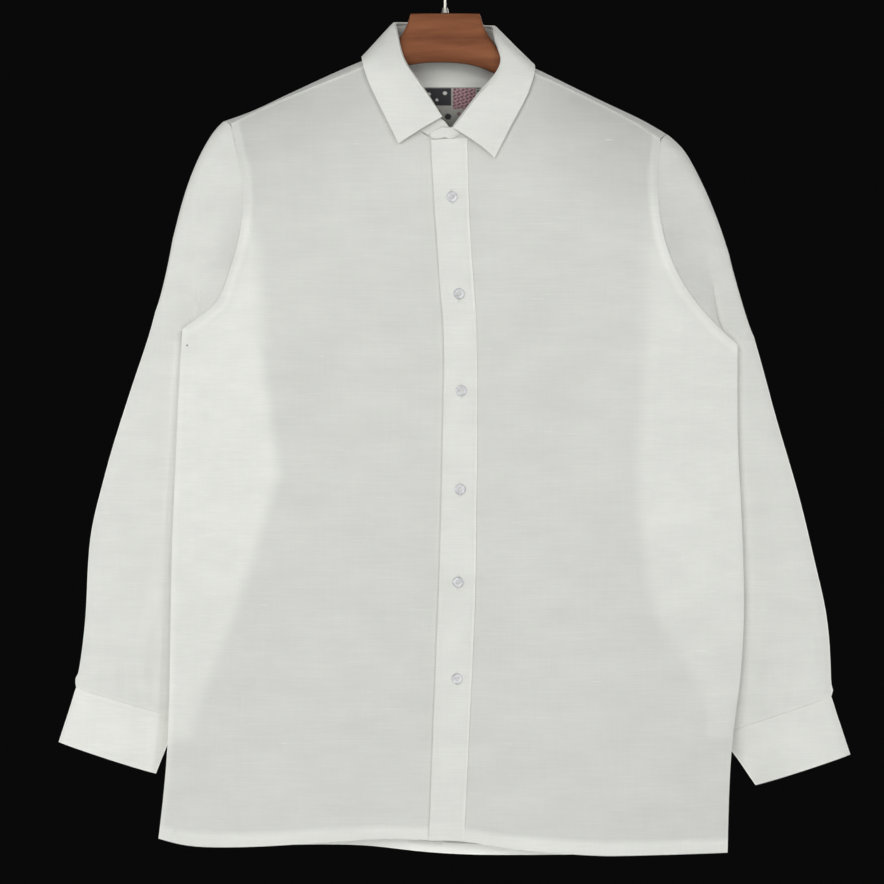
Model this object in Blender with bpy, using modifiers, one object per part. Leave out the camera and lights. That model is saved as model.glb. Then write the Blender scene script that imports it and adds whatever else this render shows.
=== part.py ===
# Linen shirt with long sleeves, buttoned up and hung on a wooden hanger.
# The origin is the hold point: the inside of the hook's top. +Z is up and the front faces -Y.
# Tables are in millimetres: x to the wearer's left, down below the hold point, depth along +Y.

import math

import bmesh
import bpy
import numpy as np
from mathutils import Vector

MM = 0.001
CLOTH = 1.2
SEAM_GAP = 0.3
LAYER = CLOTH + SEAM_GAP
# A little more where the walls meet at an angle
YOKE_SEAM_GAP = 0.6
SLEEVE_SEAM_GAP = 0.45

# The fold over the shoulder: how far below the ridge the cloth turns upright
SHOULDER_DROP = 16.0
RIDGE_DEPTH = -1.0
SIDE_DEPTH = -3.0
SIDE_PARTING = 0.8
BACK_YOKE_SEAM = 232.0
FLATNESS = 4

ARMHOLE_ROWS = 7
SIDE_ROWS = 12
BACK_ARMHOLE_ROWS = 5
SEAM_COLUMNS = 6
BACK_COLUMNS = 16
LENS_POWER = 0.6
TOP_ROW_SHARE = 0.4

# Body centre line, half width and half depths at each height
BODY_COLUMNS = ("down", "centre_x", "half_width", "front_depth", "back_depth")
BODY = [
    (110, 0.0, 330, 21.0, 27.0),
    (160, 1.0, 318, 22.5, 25.0),
    (210, 2.0, 305, 24.0, 21.0),
    (300, 8.0, 290, 25.0, 17.0),
    (400, 15.0, 279, 24.0, 14.0),
    (560, 13.0, 283, 22.0, 12.0),
    (730, 11.0, 286, 20.0, 12.0),
    (860, 2.5, 283, 18.5, 13.0),
    (930, -2.0, 285, 18.0, 13.5),
]

# Top of the shoulders seen from the front: x, down
RIDGE = [
    (-222, 188.3), (-201, 182.5), (-190, 177), (-164, 164.5), (-113, 140.5), (-83, 127.3), (-65, 120),
    (-40, 118), (0, 118), (45, 120), (68, 124.5), (89, 134.5), (137, 158.5), (163, 170.5), (186, 182.5),
    (204, 188.5), (216, 196.5), (224, 202.5),
]

# Front yoke seams, from the armhole to the neck: x, down
YOKE_SEAM_RIGHT = [(-213, 192.5), (-191, 180.5), (-163, 168), (-112, 148.5), (-82, 135.5), (-65, 129.5)]
YOKE_SEAM_LEFT = [(214, 207.5), (194, 193.5), (166, 178.5), (124, 157.5), (90, 142.5), (68, 133)]

# Armholes seen from the front, from the yoke seam to the underarm: x, down
ARMHOLE_FRONT_RIGHT = [
    (-213, 192.5), (-207.5, 218.5), (-201.5, 238.5), (-199, 269.5), (-202, 298.5), (-210, 328.5),
    (-226, 367.5), (-247, 387.5), (-262, 396),
]
ARMHOLE_FRONT_LEFT = [
    (214, 207.5), (212.5, 221.5), (210.5, 239.5), (210, 256.5), (212, 281.5), (217, 306.5), (225, 330.5),
    (237, 354.5), (253, 374.5), (276, 399.5), (292, 411.5),
]
ARMHOLE_BACK_RIGHT = [
    (-207, 232), (-203, 270), (-206, 300), (-215, 338), (-231, 368), (-248, 387), (-262, 396),
]
ARMHOLE_BACK_LEFT = [(212, 232), (213, 270), (219, 304), (229, 334), (242, 360), (262, 385), (292, 411.5)]

# How far the yoke's two ends stand out on each of its rows, from the front seam over the ridge
YOKE_END_RIGHT = [-213, -218, -222, -221, -219, -216, -213, -210, -207]
YOKE_END_LEFT = [214, 219, 224, 223, 221, 218, 216, 214, 212]
YOKE_ROW_SPREAD = [0.0, 0.02, 0.04, 0.08, 0.14, 0.22, 0.48, 0.74, 1.0]
YOKE_ARCH_ROWS = 5
YOKE_NECK_SPREAD = 95.0

# Side edges from the underarm to the hem: x, down
SIDE_RIGHT = [
    (-262, 396), (-265, 439.5), (-268, 508.5), (-273, 621.5), (-274.5, 733.5), (-276, 801.5), (-279, 846.5),
    (-285, 894.5), (-286, 904.5),
]
SIDE_LEFT = [
    (292, 411.5), (291.6, 508.5), (296, 578.5), (299, 663.5), (297, 728.5), (292, 773.5), (287, 796.5),
    (285, 818.5), (283, 874.5), (282, 918.5),
]

# Lower edges: x, down
HEM_FRONT_RIGHT = [
    (16, 904.5), (-17, 904.5), (-70, 902.5), (-107, 906), (-192, 911.5), (-234, 912.5), (-270, 910.5),
    (-286, 904.5),
]
HEM_FRONT_LEFT = [(-16, 904.5), (19, 904.5), (53, 911.5), (96, 916.5), (158, 920.5), (282, 918.5)]
HEM_BACK = [
    (-286, 904.5), (-250, 910.5), (-192, 912), (-115, 912), (-85, 911), (-55, 915.5), (-25, 919.5),
    (5, 921.5),
    (35, 922.5), (95, 922.5), (158, 921.5), (215, 922), (260, 920), (282, 918.5),
]

# Edges of the front closing, from the neck to the hem: x, down
UNDERLAP_EDGE = [(19, 209.5), (21, 306.5), (28, 396.5), (28, 506.5), (26, 666.5), (16, 904.5)]
OVERLAP_EDGE = [
    (-14, 208.8), (-11, 267.5), (-6, 336.5), (-4, 368.5), (0, 396.5), (-2, 496.5), (-5, 626.5), (-16, 904.5),
]
PLACKET_SEAM = [(22, 207), (24, 290), (27, 336.5), (32, 396.5), (32, 506.5), (30, 666.5), (19, 904.5)]
PLACKET_ROWS = 18
PLACKET_LIFT = 1.6
# The right front steps back under the left one, from this far aside of the closing and over this width
UNDERLAP_START = 45.0
UNDERLAP_RUN = 38.0

# The front yoke seams reach the neckline at this height
NECK_AT_YOKE_SEAM = 129.0

# The collar, from the under end at the front, round the back of the neck, to the over end.
# neck is the seam, fold is the top of the stand, edge is the free edge of the leaf.
COLLAR_COLUMNS = ("neck_x", "neck_down", "side", "fold_x", "fold_down", "fold_depth", "edge_x", "edge_down")
COLLAR = [
    (19, 209.5, "front", 12, 191, -21.5, None, None),
    (-4, 208.8, "front", -4, 185, -25.5, -46, 212.5),
    (-20, 203.5, "front", -12, 171, -27.5, -57, 190.5),
    (-37, 188.5, "front", -27, 149, -27.0, -67, 170),
    (-50, 168.5, "front", -38, 134.5, -24.5, -74, 156),
    (-59, 148.5, "front", -43, 122, -20.0, -79, 143),
    (-65, 129.5, "front", -45.5, 111, -14.0, -82, 134),
    (-68, 123.5, "front", -47.5, 99, -6.0, -83, 129),
    (-68, 121.0, "back", -49.5, 90, 4.0, -83, 127.3),
    (-64, 123.0, "back", -47, 87.5, 14.0, -79, 131),
    (-48, 125.5, "back", -38, 86.5, 22.0, -60, 134.5),
    (-25, 126.0, "back", -20, 86, 26.0, -31, 136),
    (0, 126.0, "back", 0, 86, 27.5, 0, 136.5),
    (25, 126.5, "back", 20, 87, 26.0, 32, 137),
    (48, 127.0, "back", 38, 89, 22.0, 62, 139),
    (66, 128.0, "back", 46, 91, 14.0, 83, 139),
    (71, 125.8, "back", 48, 94, 4.0, 88, 134.5),
    (71, 128.5, "front", 49.5, 103, -6.0, 89, 136.5),
    (68, 133.0, "front", 52.5, 114, -14.0, 89.5, 140.5),
    (62, 146.5, "front", 56, 125, -20.0, 87.5, 148),
    (52, 164.5, "front", 55, 137, -24.5, 84, 158),
    (38, 183.5, "front", 43, 152, -28.5, 79, 170),
    (23, 197.5, "front", 26, 170, -29.5, 66, 193),
    (6, 205.5, "front", 8, 190, -28.5, 49, 227),
    (-14, 208.8, "front", -14, 198, -26.5, None, None),
]
STAND_TOP_DROP = 3.0
STAND_GAP_FRONT = 1.2
STAND_GAP_SHOULDER = 2.7
STAND_SHOULDER_BELOW = 135.0
STAND_OVER_END_X = 20.0
STAND_OVER_END_STEP = 1.8
LEAF_LIFT_FRONT = 4.8
LEAF_LIFT_BACK = 3.8
LEAF_ROLL = 4.2
LEAF_ROLL_DROP = 1.2
LEAF_CONTROL = 0.4
# The leaf bows out over the chest and lies nearly straight beside the neck
LEAF_BULGE = 5.0
LEAF_BULGE_BESIDE = 0.5
LEAF_RISE = 2.0
LEAF_FULL_BULGE_DEPTH = 22.0
LEAF_ROWS = 4

# Sleeves and cuffs as flattened rings. outer is the fold seen at the side, inner is the fold behind the body.
RING_COLUMNS = (
    "outer_x", "outer_down", "outer_depth", "inner_x", "inner_down", "inner_depth", "half_thickness",
)
SLEEVE_RIGHT = [
    (-222, 188.0, -1, -262, 396, -3, 12.0),
    (-232, 196.5, -1, -266.5, 399, 2, 11.0),
    (-254, 236.5, 0, -262, 406, 13, 9.5),
    (-271, 296.5, 2, -240, 409, 18, 9.0),
    (-282, 346.5, 4, -214, 413, 21, 9.0),
    (-293.5, 396.5, 6, -189, 420, 22, 9.0),
    (-308, 436.5, 8, -178, 458, 24, 9.0),
    (-321, 476.5, 9, -171, 498, 25, 9.0),
    (-334, 516.5, 10, -166, 540, 25, 9.0),
    (-344.5, 556.5, 10, -172, 586, 25, 9.0),
    (-355, 596.5, 10, -186, 632, 25, 8.5),
    (-358, 636.5, 10, -202, 675, 25, 8.5),
    (-359, 676.5, 10, -220, 716, 24, 8.5),
    (-363, 716.5, 10, -240, 754, 22, 8.5),
    (-369.5, 755.0, 10, -269, 785.5, 20, 8.5),
]
SLEEVE_LEFT = [
    (224, 202.5, -1, 292, 411.5, -3, 12.0),
    (237, 212.5, -1, 297, 415, 4, 11.0),
    (251, 235.5, 0, 293, 422, 15, 9.5),
    (273, 283.5, 2, 274, 424, 18, 9.0),
    (290, 337.5, 6, 250, 425, 23, 9.0),
    (304, 386.5, 8, 228, 430, 24, 9.0),
    (317.5, 431.5, 9, 210, 456, 25, 9.0),
    (329, 476.5, 9, 201, 498, 25, 9.0),
    (341, 516.5, 10, 195, 540, 25, 9.0),
    (353, 556.5, 10, 192, 580, 25, 9.0),
    (363, 596.5, 10, 200, 620, 25, 8.5),
    (372, 636.5, 10, 212, 662, 25, 8.5),
    (382, 676.5, 10, 228, 704, 24, 8.5),
    (386, 716.5, 10, 246, 748, 22, 8.5),
    (387, 763.5, 10, 272, 803, 20, 8.5),
]
CUFF_RIGHT = [
    (-370, 755.6, 10, -269.3, 786.2, 20, 8.5),
    (-375, 773, 10, -276, 804, 20, 9.0),
    (-381, 791, 10, -284, 823, 20, 9.5),
    (-387, 809.5, 10, -291.4, 842, 20, 9.5),
]
CUFF_LEFT = [
    (387.2, 764.2, 10, 272.5, 803.7, 20, 8.5),
    (393, 783, 10, 289, 818, 20, 9.0),
    (399.5, 802.5, 10, 301, 836, 20, 9.5),
    (406, 822, 10, 313, 853.5, 20, 9.5),
]

# How much of the armhole's own shape the first sleeve rings keep
SLEEVE_MORPH = (1.0, 0.6, 0.26, 0.09)
UNDERARM_GAP = 1.5
UNDERARM_NEAR_GAP = 1.2

# Gauntlet strips on the back of the sleeves, as sleeve ring number and place across the sleeve
GAUNTLET_ROWS = 6
GAUNTLET_LIFT = 2.0
GAUNTLET_RIGHT = dict(first_ring=10.9, last_ring=13.6, across_top=0.46, across_end=0.50, width=0.085)
GAUNTLET_LEFT = dict(first_ring=10.9, last_ring=13.6, across_top=0.46, across_end=0.42, width=0.085)

# Buttons: x, down
BUTTONS_FRONT = [(7, 265.5), (14, 361.5), (16, 457.5), (15, 555.5), (13, 647.5), (12, 743.5)]
BUTTON_DIAMETER = 11.5
BUTTON_THICKNESS = 2.4
BUTTON_RIM = 1.6
BUTTON_DISH = 0.6
BUTTON_SIDES = 14
BUTTON_CLEARANCE = 0.6
CUFF_BUTTON_RING = 1.6
CUFF_BUTTON_ACROSS = 0.72

LABEL_LEFT = -26.0
LABEL_RIGHT = 36.0
LABEL_TOP = 151.0
LABEL_BOTTOM = 190.0
LABEL_THICKNESS = 1.0

# Hanger wood from tip to tip: x, top, bottom, half depth
WOOD_COLUMNS = ("x", "top", "bottom", "half_depth")
WOOD = [
    (-214, 190, 202, 4.0),
    (-211, 187.6, 208, 8.0),
    (-201, 184.0, 212, 11.0),
    (-190, 178.6, 209, 12.0),
    (-164, 166.2, 198, 12.0),
    (-138, 153.8, 185, 11.5),
    (-113, 142.2, 172, 11.0),
    (-83, 129.2, 157, 10.5),
    (-66, 121.8, 147, 10.0),
    (-56, 117.5, 140, 10.0),
    (-47, 107.0, 136, 10.0),
    (-42, 99.0, 134, 10.0),
    (-38.3, 92.0, 133, 10.0),
    (-36.0, 85.0, 132, 10.0),
    (-34.6, 80.3, 131.6, 10.0),
    (-22, 80.0, 129.5, 10.0),
    (0, 80.0, 128.5, 10.0),
    (22, 80.0, 130.5, 10.0),
    (34.8, 80.3, 134, 10.0),
    (36.6, 85.5, 135, 10.0),
    (39.3, 93.5, 136, 10.0),
    (43.3, 102.0, 138, 10.0),
    (50, 110.5, 140.5, 10.0),
    (58, 121.5, 144, 10.0),
    (68, 126.5, 150, 10.0),
    (89, 136.4, 162, 10.5),
    (113, 148.2, 176, 11.0),
    (137, 160.2, 189, 11.5),
    (163, 172.3, 201, 12.0),
    (186, 184.3, 215, 12.0),
    (201, 191.5, 219, 10.0),
    (209, 198.0, 216, 7.0),
    (212, 201.5, 212, 4.0),
]
WOOD_TOP = 80.0
WOOD_CORNER = 2.6
WOOD_SIDES = 14

# Hook: shank up from the wood, then round to the free tip
WIRE_RADIUS = 1.5
HOOK_RADIUS = 23.0
SHANK_TOP = 60.0
HOOK_FIRST_ANGLE = -40.0
HOOK_TIP_ANGLE = 205.0
HOOK_TURN_POINTS = 15
FERRULE_RADIUS = 4.0
FERRULE_LENGTH = 5.0
FERRULE_TAPER = 0.7

COLOURS = {
    "linen": ((0.66, 0.66, 0.62), 0.85, 0.0),
    "wood": ((0.25, 0.093, 0.042), 0.35, 0.0),
    "steel": ((0.72, 0.71, 0.68), 0.28, 1.0),
    "shell": ((0.72, 0.72, 0.68), 0.25, 0.0),
    "label": ((0.06, 0.055, 0.07), 0.7, 0.0),
}


def point(x, down, depth):
    return Vector((x * MM, depth * MM, -down * MM))


def column(table, names, name):
    return [row[names.index(name)] for row in table]


def at_height(down, name):
    heights = column(BODY, BODY_COLUMNS, "down")
    return float(np.interp(down, heights, column(BODY, BODY_COLUMNS, name)))


def ridge_down(x):
    return float(np.interp(x, [p[0] for p in RIDGE], [p[1] for p in RIDGE]))


def arch_cosine(drop):
    lift = 1.0 - min(max(drop, 0.0), SHOULDER_DROP) / SHOULDER_DROP
    return math.sqrt(1.0 - lift * lift)


def body_depth(x, down, side):
    """Depth of the middle of the cloth on the body's front or back."""
    across = min(abs(x - at_height(down, "centre_x")) / at_height(down, "half_width"), 1.0)
    fullness = 1.0 - across ** FLATNESS
    if side == "front":
        flat = SIDE_DEPTH - SIDE_PARTING - (at_height(down, "front_depth") + SIDE_DEPTH) * fullness
    else:
        flat = SIDE_DEPTH + SIDE_PARTING + (at_height(down, "back_depth") - SIDE_DEPTH) * fullness
    return RIDGE_DEPTH + (flat - RIDGE_DEPTH) * arch_cosine(down - ridge_down(x))


def lifted(x, down, side, lift):
    """A point off the body's surface, outward by lift."""
    depth = body_depth(x, down, side)
    drop = min(max(down - ridge_down(x), 0.0), SHOULDER_DROP)
    upward = (SHOULDER_DROP - drop) / SHOULDER_DROP
    outward = depth - RIDGE_DEPTH
    full_depth = max(abs(body_depth(x, ridge_down(x) + SHOULDER_DROP, side)), 1.0)
    normal = Vector((0.0, outward / full_depth, upward))
    if drop >= SHOULDER_DROP:
        normal = Vector((0.0, -1.0 if side == "front" else 1.0, 0.0))
    return point(x, down, depth) + normal.normalized() * lift * MM


def resample(path, count):
    """Points spread evenly along a path of x, down points."""
    knots = np.array([p[:2] for p in path], dtype=float)
    lengths = np.concatenate([[0.0], np.cumsum(np.linalg.norm(np.diff(knots, axis=0), axis=1))])
    places = np.linspace(0.0, lengths[-1], count + 1)
    across = np.interp(places, lengths, knots[:, 0])
    down = np.interp(places, lengths, knots[:, 1])
    return [(float(x), float(y)) for x, y in zip(across, down)]


def extra_top_row(path):
    """Adds a point close under the first one, where the cloth turns over the shoulder."""
    (x0, down0), (x1, down1) = path[:2]
    near = (x0 + (x1 - x0) * TOP_ROW_SHARE, down0 + (down1 - down0) * TOP_ROW_SHARE)
    return [path[0], near] + path[1:]


def patch(top, bottom, first, last, shares):
    """A grid of x, down points spanned by four edges. Rows run from top to bottom."""
    columns = len(top)
    grid = []
    for i, v in enumerate(shares):
        row = []
        for j in range(columns):
            u = j / (columns - 1)
            value = []
            for k in range(2):
                ruled = (1 - v) * top[j][k] + v * bottom[j][k] + (1 - u) * first[i][k] + u * last[i][k]
                corners = (1 - v) * ((1 - u) * top[0][k] + u * top[-1][k])
                corners += v * ((1 - u) * bottom[0][k] + u * bottom[-1][k])
                value.append(ruled - corners)
            row.append(tuple(value))
        grid.append(row)
    return grid


def make_material(name):
    colour, roughness, metallic = COLOURS[name]
    material = bpy.data.materials.new(name)
    material.use_nodes = True
    shader = material.node_tree.nodes["Principled BSDF"]
    shader.inputs["Base Color"].default_value = (*colour, 1.0)
    shader.inputs["Roughness"].default_value = roughness
    shader.inputs["Metallic"].default_value = metallic
    material.diffuse_color = (*colour, 1.0)
    return material


def add_object(name, mesh, collection, material):
    obj = bpy.data.objects.new(name, mesh)
    mesh.materials.append(material)
    collection.objects.link(obj)
    return obj


def surface(name, grid, collection, material, thickness=CLOTH, ring=False, flip=False):
    """An open sheet or tube from rows of points, made a wall with Solidify."""
    work = bmesh.new()
    rows = [[work.verts.new(place) for place in row] for row in grid]
    spans = len(rows[0]) if ring else len(rows[0]) - 1
    for upper, lower in zip(rows, rows[1:]):
        for j in range(spans):
            k = (j + 1) % len(upper)
            corners = (upper[j], lower[j], lower[k], upper[k])
            work.faces.new(reversed(corners) if flip else corners)
    mesh = bpy.data.meshes.new(name)
    work.to_mesh(mesh)
    work.free()
    mesh.shade_smooth()
    obj = add_object(name, mesh, collection, material)
    solidify = obj.modifiers.new("cloth", "SOLIDIFY")
    solidify.thickness = thickness * MM
    solidify.offset = 0.0
    solidify.use_even_offset = False
    return obj


def yoke_columns():
    """Start point, side and far end of every column of the yoke, from one armhole to the other."""
    columns = []
    for share in np.linspace(0.0, 1.0, SEAM_COLUMNS + 1):
        columns.append(("right wing", float(share)))
    neck = [i for i, row in enumerate(COLLAR) if row[2] == "back" or row[1] < NECK_AT_YOKE_SEAM]
    for i in neck:
        columns.append(("neck", i))
    for share in np.linspace(1.0, 0.0, SEAM_COLUMNS + 1):
        columns.append(("left wing", float(share)))
    return columns


def seam_point(seam, share):
    x = seam[0][0] + (seam[-1][0] - seam[0][0]) * share
    knots = sorted(seam)
    return x, float(np.interp(x, [p[0] for p in knots], [p[1] for p in knots]))


def arch_angle(x, down, side):
    lift = 1.0 - min(max(down - ridge_down(x), 0.0), SHOULDER_DROP) / SHOULDER_DROP
    angle = math.asin(lift)
    return angle if side == "front" else math.pi - angle


def shoulder_point(x, angle):
    down = ridge_down(x) + SHOULDER_DROP * (1.0 - math.sin(angle))
    side = "front" if math.cos(angle) > 0 else "back"
    return point(x, down, body_depth(x, down, side))


def yoke_grid():
    columns = yoke_columns()
    neck_columns = [c for c in columns if c[0] == "neck"]
    last_row = len(YOKE_ROW_SPREAD) - 1
    grid = [[] for _ in YOKE_ROW_SPREAD]
    for kind, key in columns:
        if kind == "neck":
            start_x, start_down, side = COLLAR[key][:3]
            place = (neck_columns.index((kind, key)) + 1) / (len(neck_columns) + 1)
            end_x = -YOKE_NECK_SPREAD + 2 * YOKE_NECK_SPREAD * place
            xs = [start_x + (end_x - start_x) * spread for spread in YOKE_ROW_SPREAD]
        else:
            seam = YOKE_SEAM_RIGHT if kind == "right wing" else YOKE_SEAM_LEFT
            ends = YOKE_END_RIGHT if kind == "right wing" else YOKE_END_LEFT
            neck_end = -YOKE_NECK_SPREAD if kind == "right wing" else YOKE_NECK_SPREAD
            side = "front"
            start_x, start_down = seam_point(seam, key)
            inner = [seam[-1][0] + (neck_end - seam[-1][0]) * spread for spread in YOKE_ROW_SPREAD]
            xs = [a + (b - a) * key for a, b in zip(ends, inner)]
        first_angle = arch_angle(start_x, start_down, side)
        for row, x in enumerate(xs):
            if row == 0:
                place = point(start_x, start_down, body_depth(start_x, start_down, side))
            elif row <= YOKE_ARCH_ROWS:
                if kind == "neck":
                    angle = first_angle + (math.pi - first_angle) * row / YOKE_ARCH_ROWS
                elif row <= 2:
                    angle = first_angle + (math.pi / 2 - first_angle) * row / 2
                else:
                    angle = math.pi / 2 + math.pi / 2 * (row - 2) / (YOKE_ARCH_ROWS - 2)
                place = shoulder_point(x, angle)
            else:
                top = ridge_down(x) + SHOULDER_DROP
                share = (row - YOKE_ARCH_ROWS) / (last_row - YOKE_ARCH_ROWS)
                down = top + (BACK_YOKE_SEAM - top) * share
                place = point(x, down, body_depth(x, down, "back"))
            grid[row].append(place)
    return grid


def collar_front_path(wearer_side):
    """Neckline of a front panel, from its centre-front edge to the yoke seam."""
    half = len(COLLAR) // 2
    rows = COLLAR[:half + 1] if wearer_side == "right" else COLLAR[:half - 1:-1]
    return [(row[0], row[1]) for row in rows if row[2] == "front" and row[1] >= NECK_AT_YOKE_SEAM]


def front_grid(wearer_side):
    right = wearer_side == "right"
    seam = YOKE_SEAM_RIGHT if right else YOKE_SEAM_LEFT
    armhole = ARMHOLE_FRONT_RIGHT if right else ARMHOLE_FRONT_LEFT
    neckline = collar_front_path(wearer_side)
    shoulder = [seam_point(seam, share) for share in np.linspace(1.0, 0.0, SEAM_COLUMNS + 1)]
    top = neckline + shoulder[1:]
    rows = ARMHOLE_ROWS + SIDE_ROWS
    side = extra_top_row(resample(armhole, ARMHOLE_ROWS))
    side += resample(SIDE_RIGHT if right else SIDE_LEFT, SIDE_ROWS)[1:]
    centre = extra_top_row(resample(UNDERLAP_EDGE if right else OVERLAP_EDGE, rows))
    shares = [0.0, TOP_ROW_SHARE / rows] + [i / rows for i in range(1, rows + 1)]
    hem = resample(HEM_FRONT_RIGHT if right else HEM_FRONT_LEFT, len(top) - 1)
    grid = []
    for row in patch(top, hem, centre, side, shares):
        places = []
        for x, down in row:
            place = point(x, down, body_depth(x, down, "front"))
            if right:
                place.y += LAYER * MM * underlap_share(x, down)
            places.append(place)
        grid.append(places)
    return drop_top_edge(grid)


def underlap_share(x, down):
    """How much the right front steps back to lie under the left one: 1 at the closing, 0 well aside."""
    edge = sorted(OVERLAP_EDGE, key=lambda p: p[1])
    overlap = float(np.interp(down, [p[1] for p in edge], [p[0] for p in edge]))
    return min(max((x - overlap + UNDERLAP_START) / UNDERLAP_RUN, 0.0), 1.0)


def drop_top_edge(grid):
    """Leaves the seam gap under a panel's top edge."""
    for upper, lower in zip(grid[0], grid[1]):
        upper += (lower - upper).normalized() * YOKE_SEAM_GAP * MM
    return grid


def back_grid():
    top = [(float(x), BACK_YOKE_SEAM + SEAM_GAP) for x in
           np.linspace(YOKE_END_RIGHT[-1], YOKE_END_LEFT[-1], BACK_COLUMNS + 1)]
    first = resample(ARMHOLE_BACK_RIGHT, BACK_ARMHOLE_ROWS) + resample(SIDE_RIGHT, SIDE_ROWS)[1:]
    last = resample(ARMHOLE_BACK_LEFT, BACK_ARMHOLE_ROWS) + resample(SIDE_LEFT, SIDE_ROWS)[1:]
    first[0] = top[0]
    last[0] = top[-1]
    hem = resample(HEM_BACK, BACK_COLUMNS)
    shares = [i / (len(first) - 1) for i in range(len(first))]
    grid = patch(top, hem, first, last, shares)
    return [[point(x, down, body_depth(x, down, "back")) for x, down in row] for row in grid]


def placket_grid():
    left = resample(OVERLAP_EDGE, PLACKET_ROWS)
    right = resample(PLACKET_SEAM, PLACKET_ROWS)
    grid = []
    for (x0, down0), (x1, down1) in zip(left, right):
        row = []
        for share in (0.0, 0.5, 1.0):
            x = x0 + (x1 - x0) * share
            down = down0 + (down1 - down0) * share
            row.append(lifted(x, down, "front", PLACKET_LIFT))
        grid.append(row)
    return grid


def armhole_ring(wearer_side, yoke):
    """The armhole as a closed ring of points: front from the ridge to the underarm, then up the back."""
    right = wearer_side == "right"
    end = [row[0] if right else row[-1] for row in yoke]
    front = extra_top_row(resample(ARMHOLE_FRONT_RIGHT if right else ARMHOLE_FRONT_LEFT, ARMHOLE_ROWS))
    back = resample(ARMHOLE_BACK_RIGHT if right else ARMHOLE_BACK_LEFT, BACK_ARMHOLE_ROWS)
    ring = [end[2], end[1], end[0]]
    ring += [point(x, down, body_depth(x, down, "front")) for x, down in front[1:]]
    ring += [point(x, down, body_depth(x, down, "back")) for x, down in reversed(back[1:-1])]
    ring += [place.copy() for place in reversed(end[3:])]
    return [place.copy() for place in ring]


def ring_shares(ring, turn):
    """How far across each ring point lies, 0 at the outer fold and 1 at the inner one."""
    steps = [(b - a).length for a, b in zip(ring, ring[1:] + ring[:1])]
    front = np.concatenate([[0.0], np.cumsum(steps[:turn])])
    back = np.concatenate([[0.0], np.cumsum(steps[turn:])])
    shares = [float(value) for value in front / front[-1]]
    shares += [float(value) for value in (1.0 - back / back[-1])[1:-1]]
    return shares


def lens_point(row, share, face):
    outer = point(row[0], row[1], row[2])
    inner = point(row[3], row[4], row[5])
    swell = row[6] * math.sin(math.pi * share) ** LENS_POWER
    return outer.lerp(inner, share) + Vector((0.0, face * swell * MM, 0.0))


def lens_ring(row, shares, turn):
    return [lens_point(row, share, -1.0 if i <= turn else 1.0) for i, share in enumerate(shares)]


def sleeve_grid(rows, ring, turn):
    shares = ring_shares(ring, turn)
    base = lens_ring(rows[0], shares, turn)
    grid = []
    for k, row in enumerate(rows):
        lens = lens_ring(row, shares, turn)
        keep = SLEEVE_MORPH[k] if k < len(SLEEVE_MORPH) else 0.0
        grid.append([place + (a - b) * keep for place, a, b in zip(lens, ring, base)])
    for i, (near, far) in enumerate(zip(grid[0], grid[1])):
        gap = SLEEVE_SEAM_GAP
        if i == turn:
            gap = UNDERARM_GAP
        elif abs(i - turn) == 1:
            gap = UNDERARM_NEAR_GAP
        near += (far - near).normalized() * gap * MM
    return grid, shares


def sleeve_surface(rows, ring_number, share, face, lift):
    lower = min(int(ring_number), len(rows) - 2)
    mix = ring_number - lower
    row = [a + (b - a) * mix for a, b in zip(rows[lower], rows[lower + 1])]
    return lens_point(row, share, face) + Vector((0.0, face * lift * MM, 0.0))


def gauntlet_grid(rows, spec):
    grid = []
    for i in range(GAUNTLET_ROWS + 1):
        share = i / GAUNTLET_ROWS
        ring_number = spec["first_ring"] + (spec["last_ring"] - spec["first_ring"]) * share
        middle = spec["across_top"] + (spec["across_end"] - spec["across_top"]) * share
        row = []
        for side in (-0.5, 0.5):
            across = middle + side * spec["width"]
            row.append(sleeve_surface(rows, ring_number, across, 1.0, GAUNTLET_LIFT))
        grid.append(row)
    return grid


def neck_points():
    places = []
    for row in COLLAR:
        x, down, side = row[:3]
        places.append(point(x, down, body_depth(x, down, side)))
    return places


def collar_outward(index, low):
    """Direction off the outer face of the stand at one place on the collar."""
    before = COLLAR[max(index - 1, 0)]
    after = COLLAR[min(index + 1, len(COLLAR) - 1)]
    along = point(after[3], after[4], after[5]) - point(before[3], before[4], before[5])
    here = COLLAR[index]
    return along.cross(low - point(here[3], here[4], here[5])).normalized()


def stand_grid():
    bottom = neck_points()
    grid = [[], [], []]
    half = len(COLLAR) // 2
    for i, (row, low) in enumerate(zip(COLLAR, bottom)):
        step = 0.0
        if i < half and row[2] == "front":
            step = LAYER * underlap_share(row[0], row[1])
        elif i > half and row[0] < STAND_OVER_END_X:
            step = -STAND_OVER_END_STEP
        top = point(row[3], row[4] + STAND_TOP_DROP, row[5])
        in_front = row[2] == "front" and row[1] > STAND_SHOULDER_BELOW
        gap = STAND_GAP_FRONT if in_front else STAND_GAP_SHOULDER
        low = low + (top - low).normalized() * gap * MM
        shift = Vector((0.0, step * MM, 0.0))
        grid[0].append(top + shift)
        grid[1].append(top.lerp(low, 0.5) + shift)
        grid[2].append(low + shift)
    return grid


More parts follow.
